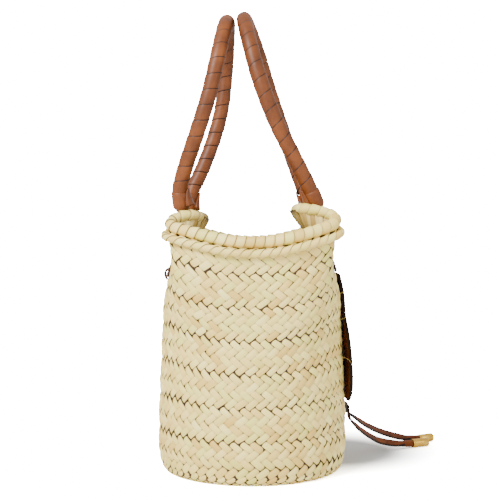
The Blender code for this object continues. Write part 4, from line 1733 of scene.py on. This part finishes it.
@dataclass
class Studio:
    """A pale floor, soft light from the left and above, and the camera at the bag's side."""

    centre_height: float = 0.263
    distance: float = 1.20
    focal: float = 77.8
    shift_x: float = -0.004
    shift_y: float = -0.0415
    daylight: float = 1.25
    backdrop: float = 30.0
    paper_gain: float = 22.0  # the paper's brightness to the camera, away from the bag
    # Painted shadow: beside the base the paper is kept dim to the camera.
    painted_shadow_gain: float = 0.55  # the same, beside the base
    painted_shadow_centre: tuple[float, float, float] = (0.095, 0.085, 0.0)
    painted_shadow_reach: tuple[float, float] = (0.06, 0.21)

    def build(self) -> None:
        """Makes the floor, the lights, the world and the camera."""
        scene = bpy.context.scene
        floor_material = bpy.data.materials.new("studio_paper")
        floor_material.use_nodes = True
        tree = floor_material.node_tree
        tree.nodes.remove(tree.nodes["Principled BSDF"])
        # The camera sees the paper through a given gradient: burnt out away from the bag, and dimmed beside
        # the base, offset to the right, as a painted shadow over the lamps' own. The bag itself only gets the
        # paper's plain bounce.
        direct = add_node(tree, "ShaderNodeLightPath").outputs["Is Camera Ray"]
        place = add_node(tree, "ShaderNodeTexCoord")
        away = add_node(
            tree,
            "ShaderNodeVectorMath",
            {"operation": "DISTANCE", 1: self.painted_shadow_centre},
            {0: place.outputs["Object"]},
        )
        burnt = add_node(
            tree,
            "ShaderNodeMapRange",
            {
                "interpolation_type": "SMOOTHSTEP",
                "From Min": self.painted_shadow_reach[0],
                "From Max": self.painted_shadow_reach[1],
                "To Min": self.painted_shadow_gain,
                "To Max": self.paper_gain,
            },
            {"Value": away.outputs["Value"]},
        )
        gain = add_node(
            tree,
            "ShaderNodeMapRange",
            {"To Min": 0.85},
            {"Value": direct, "To Max": burnt.outputs["Result"]},
        )
        paper = add_node(tree, "ShaderNodeBsdfDiffuse", links={"Color": gain.outputs["Result"]})
        tree.links.new(paper.outputs[0], tree.nodes["Material Output"].inputs["Surface"])
        size = 6.0
        verts = np.array([[-size, -size, 0], [size, -size, 0], [size, size, 0], [-size, size, 0]], float)
        floor = mesh_object("studio_floor", verts, [[0, 1, 2, 3]], floor_material, outward=False)
        world = bpy.data.worlds.new("studio")
        world.use_nodes = True
        background = world.node_tree.nodes["Background"]
        background.inputs["Color"].default_value = (1.0, 1.0, 1.0, 1.0)
        # The backdrop itself is burnt out to white, and lights the bag as soft daylight.
        seen = add_node(world.node_tree, "ShaderNodeLightPath").outputs["Is Camera Ray"]
        bright = add_node(
            world.node_tree,
            "ShaderNodeMapRange",
            {"To Min": self.daylight, "To Max": self.backdrop},
            {"Value": seen},
        )
        world.node_tree.links.new(bright.outputs["Result"], background.inputs["Strength"])
        scene.world = world
        self.lamp("key", (-0.9, -1.3, 1.5), 0.6, 74.0)
        self.lamp("fill", (1.3, -1.3, 0.9), 1.2, 9.0)
        data = bpy.data.cameras.new("camera")
        data.lens = self.focal
        data.sensor_width = 36.0
        data.shift_x, data.shift_y = self.shift_x, self.shift_y
        camera = bpy.data.objects.new("camera", data)
        camera.location = (0.0, -self.distance, self.centre_height)
        camera.rotation_euler = (math.pi / 2, 0.0, 0.0)
        scene.collection.objects.link(camera)
        scene.camera = camera

    @staticmethod
    def lamp(name: str, place: tuple[float, float, float], size: float, power: float) -> None:
        """An area lamp that faces the bag's middle."""
        data = bpy.data.lights.new(name, "AREA")
        data.size, data.energy = size, power
        lamp = bpy.data.objects.new(name, data)
        lamp.location = place
        aim = Vector((0.0, 0.0, 0.2)) - Vector(place)
        lamp.rotation_euler = aim.to_track_quat("-Z", "Y").to_euler()
        bpy.context.scene.collection.objects.link(lamp)


FRONT_HANDLE_ROUTE = (
    (0.0700, -0.0372, 0.2865),
    (0.0620, -0.0425, 0.3060),
    (0.0424, -0.0510, 0.3440),
    (0.0232, -0.0560, 0.3820),
    (0.0075, -0.0550, 0.4240),
    (-0.0022, -0.0450, 0.4610),
    (-0.0078, -0.0230, 0.4880),
    (-0.0080, 0.0000, 0.4955),
    (-0.0030, 0.0260, 0.4895),
    (0.0075, 0.0470, 0.4640),
    (0.0195, 0.0560, 0.4260),
    (0.0338, 0.0560, 0.3830),
    (0.0470, 0.0510, 0.3440),
    (0.0605, 0.0420, 0.3060),
    (0.0695, 0.0372, 0.2865),
)
BACK_HANDLE_ROUTE = (
    (-0.0748, -0.0372, 0.2840),
    (-0.0770, -0.0410, 0.3060),
    (-0.0706, -0.0460, 0.3310),
    (-0.0572, -0.0550, 0.3690),
    (-0.0454, -0.0560, 0.4070),
    (-0.0365, -0.0510, 0.4460),
    (-0.0300, -0.0300, 0.4800),
    (-0.0272, 0.0000, 0.4925),
    (-0.0278, 0.0320, 0.4815),
    (-0.0300, 0.0520, 0.4500),
    (-0.0345, 0.0560, 0.4070),
    (-0.0430, 0.0550, 0.3720),
    (-0.0562, 0.0480, 0.3350),
    (-0.0690, 0.0415, 0.3060),
    (-0.0740, 0.0372, 0.2840),
)
NEAR_LACE_ROUTE = (
    (0.1068, 0.0010, 0.0670),
    (0.1075, 0.0050, 0.0600),
    (0.1090, 0.0130, 0.0530),
    (0.1130, 0.0250, 0.0460),
    (0.1240, 0.0400, 0.0345),
    (0.1350, 0.0550, 0.0250),
    (0.1470, 0.0700, 0.0165),
    (0.1600, 0.0830, 0.0110),
    (0.1730, 0.0940, 0.0075),
    (0.1845, 0.1020, 0.0058),
    (0.1925, 0.1060, 0.0054),
)
FAR_LACE_ROUTE = (
    (0.1065, 0.0125, 0.0670),
    (0.1072, 0.0170, 0.0625),
    (0.1095, 0.0260, 0.0560),
    (0.1180, 0.0400, 0.0480),
    (0.1270, 0.0560, 0.0400),
    (0.1390, 0.0740, 0.0310),
    (0.1560, 0.0950, 0.0210),
    (0.1740, 0.1130, 0.0130),
    (0.1900, 0.1260, 0.0080),
    (0.2000, 0.1325, 0.0060),
    (0.2040, 0.1350, 0.0056),
)


def main() -> None:
    """Builds the looks in order: studio, laces, plait, rim, handles, fibres, flap and small leather."""
    logging.basicConfig(level=logging.INFO, format="%(name)s: %(message)s")
    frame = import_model()
    Studio().build()
    finishes = Finishes()
    # The ropes inside the rolls and handles keep their CAD shape and get the rope's finish.
    for name, node in frame["nodes"].items():
        if name.endswith("_core"):
            node.data.materials.clear()
            node.data.materials.append(finishes.rope)
    Lace("near_lace", finishes, NEAR_LACE_ROUTE).build()
    Lace("far_lace", finishes, FAR_LACE_ROUTE).build()
    layer = StripLayer()
    form = BasketForm()
    plait = Plait(form, layer, finishes)
    plait.build_wall()
    plait.build_base()
    Rim(form, finishes).build()
    Handle(form, layer, finishes, Body.FRONT_HANDLE, FRONT_HANDLE_ROUTE).build()
    Handle(form, layer, finishes, Body.BACK_HANDLE, BACK_HANDLE_ROUTE).build()
    LooseFibres(form, finishes).build()
    Flap(form, layer, finishes).build()
    SmallLeather(form, finishes).build()


if __name__ == "__main__":
    main()
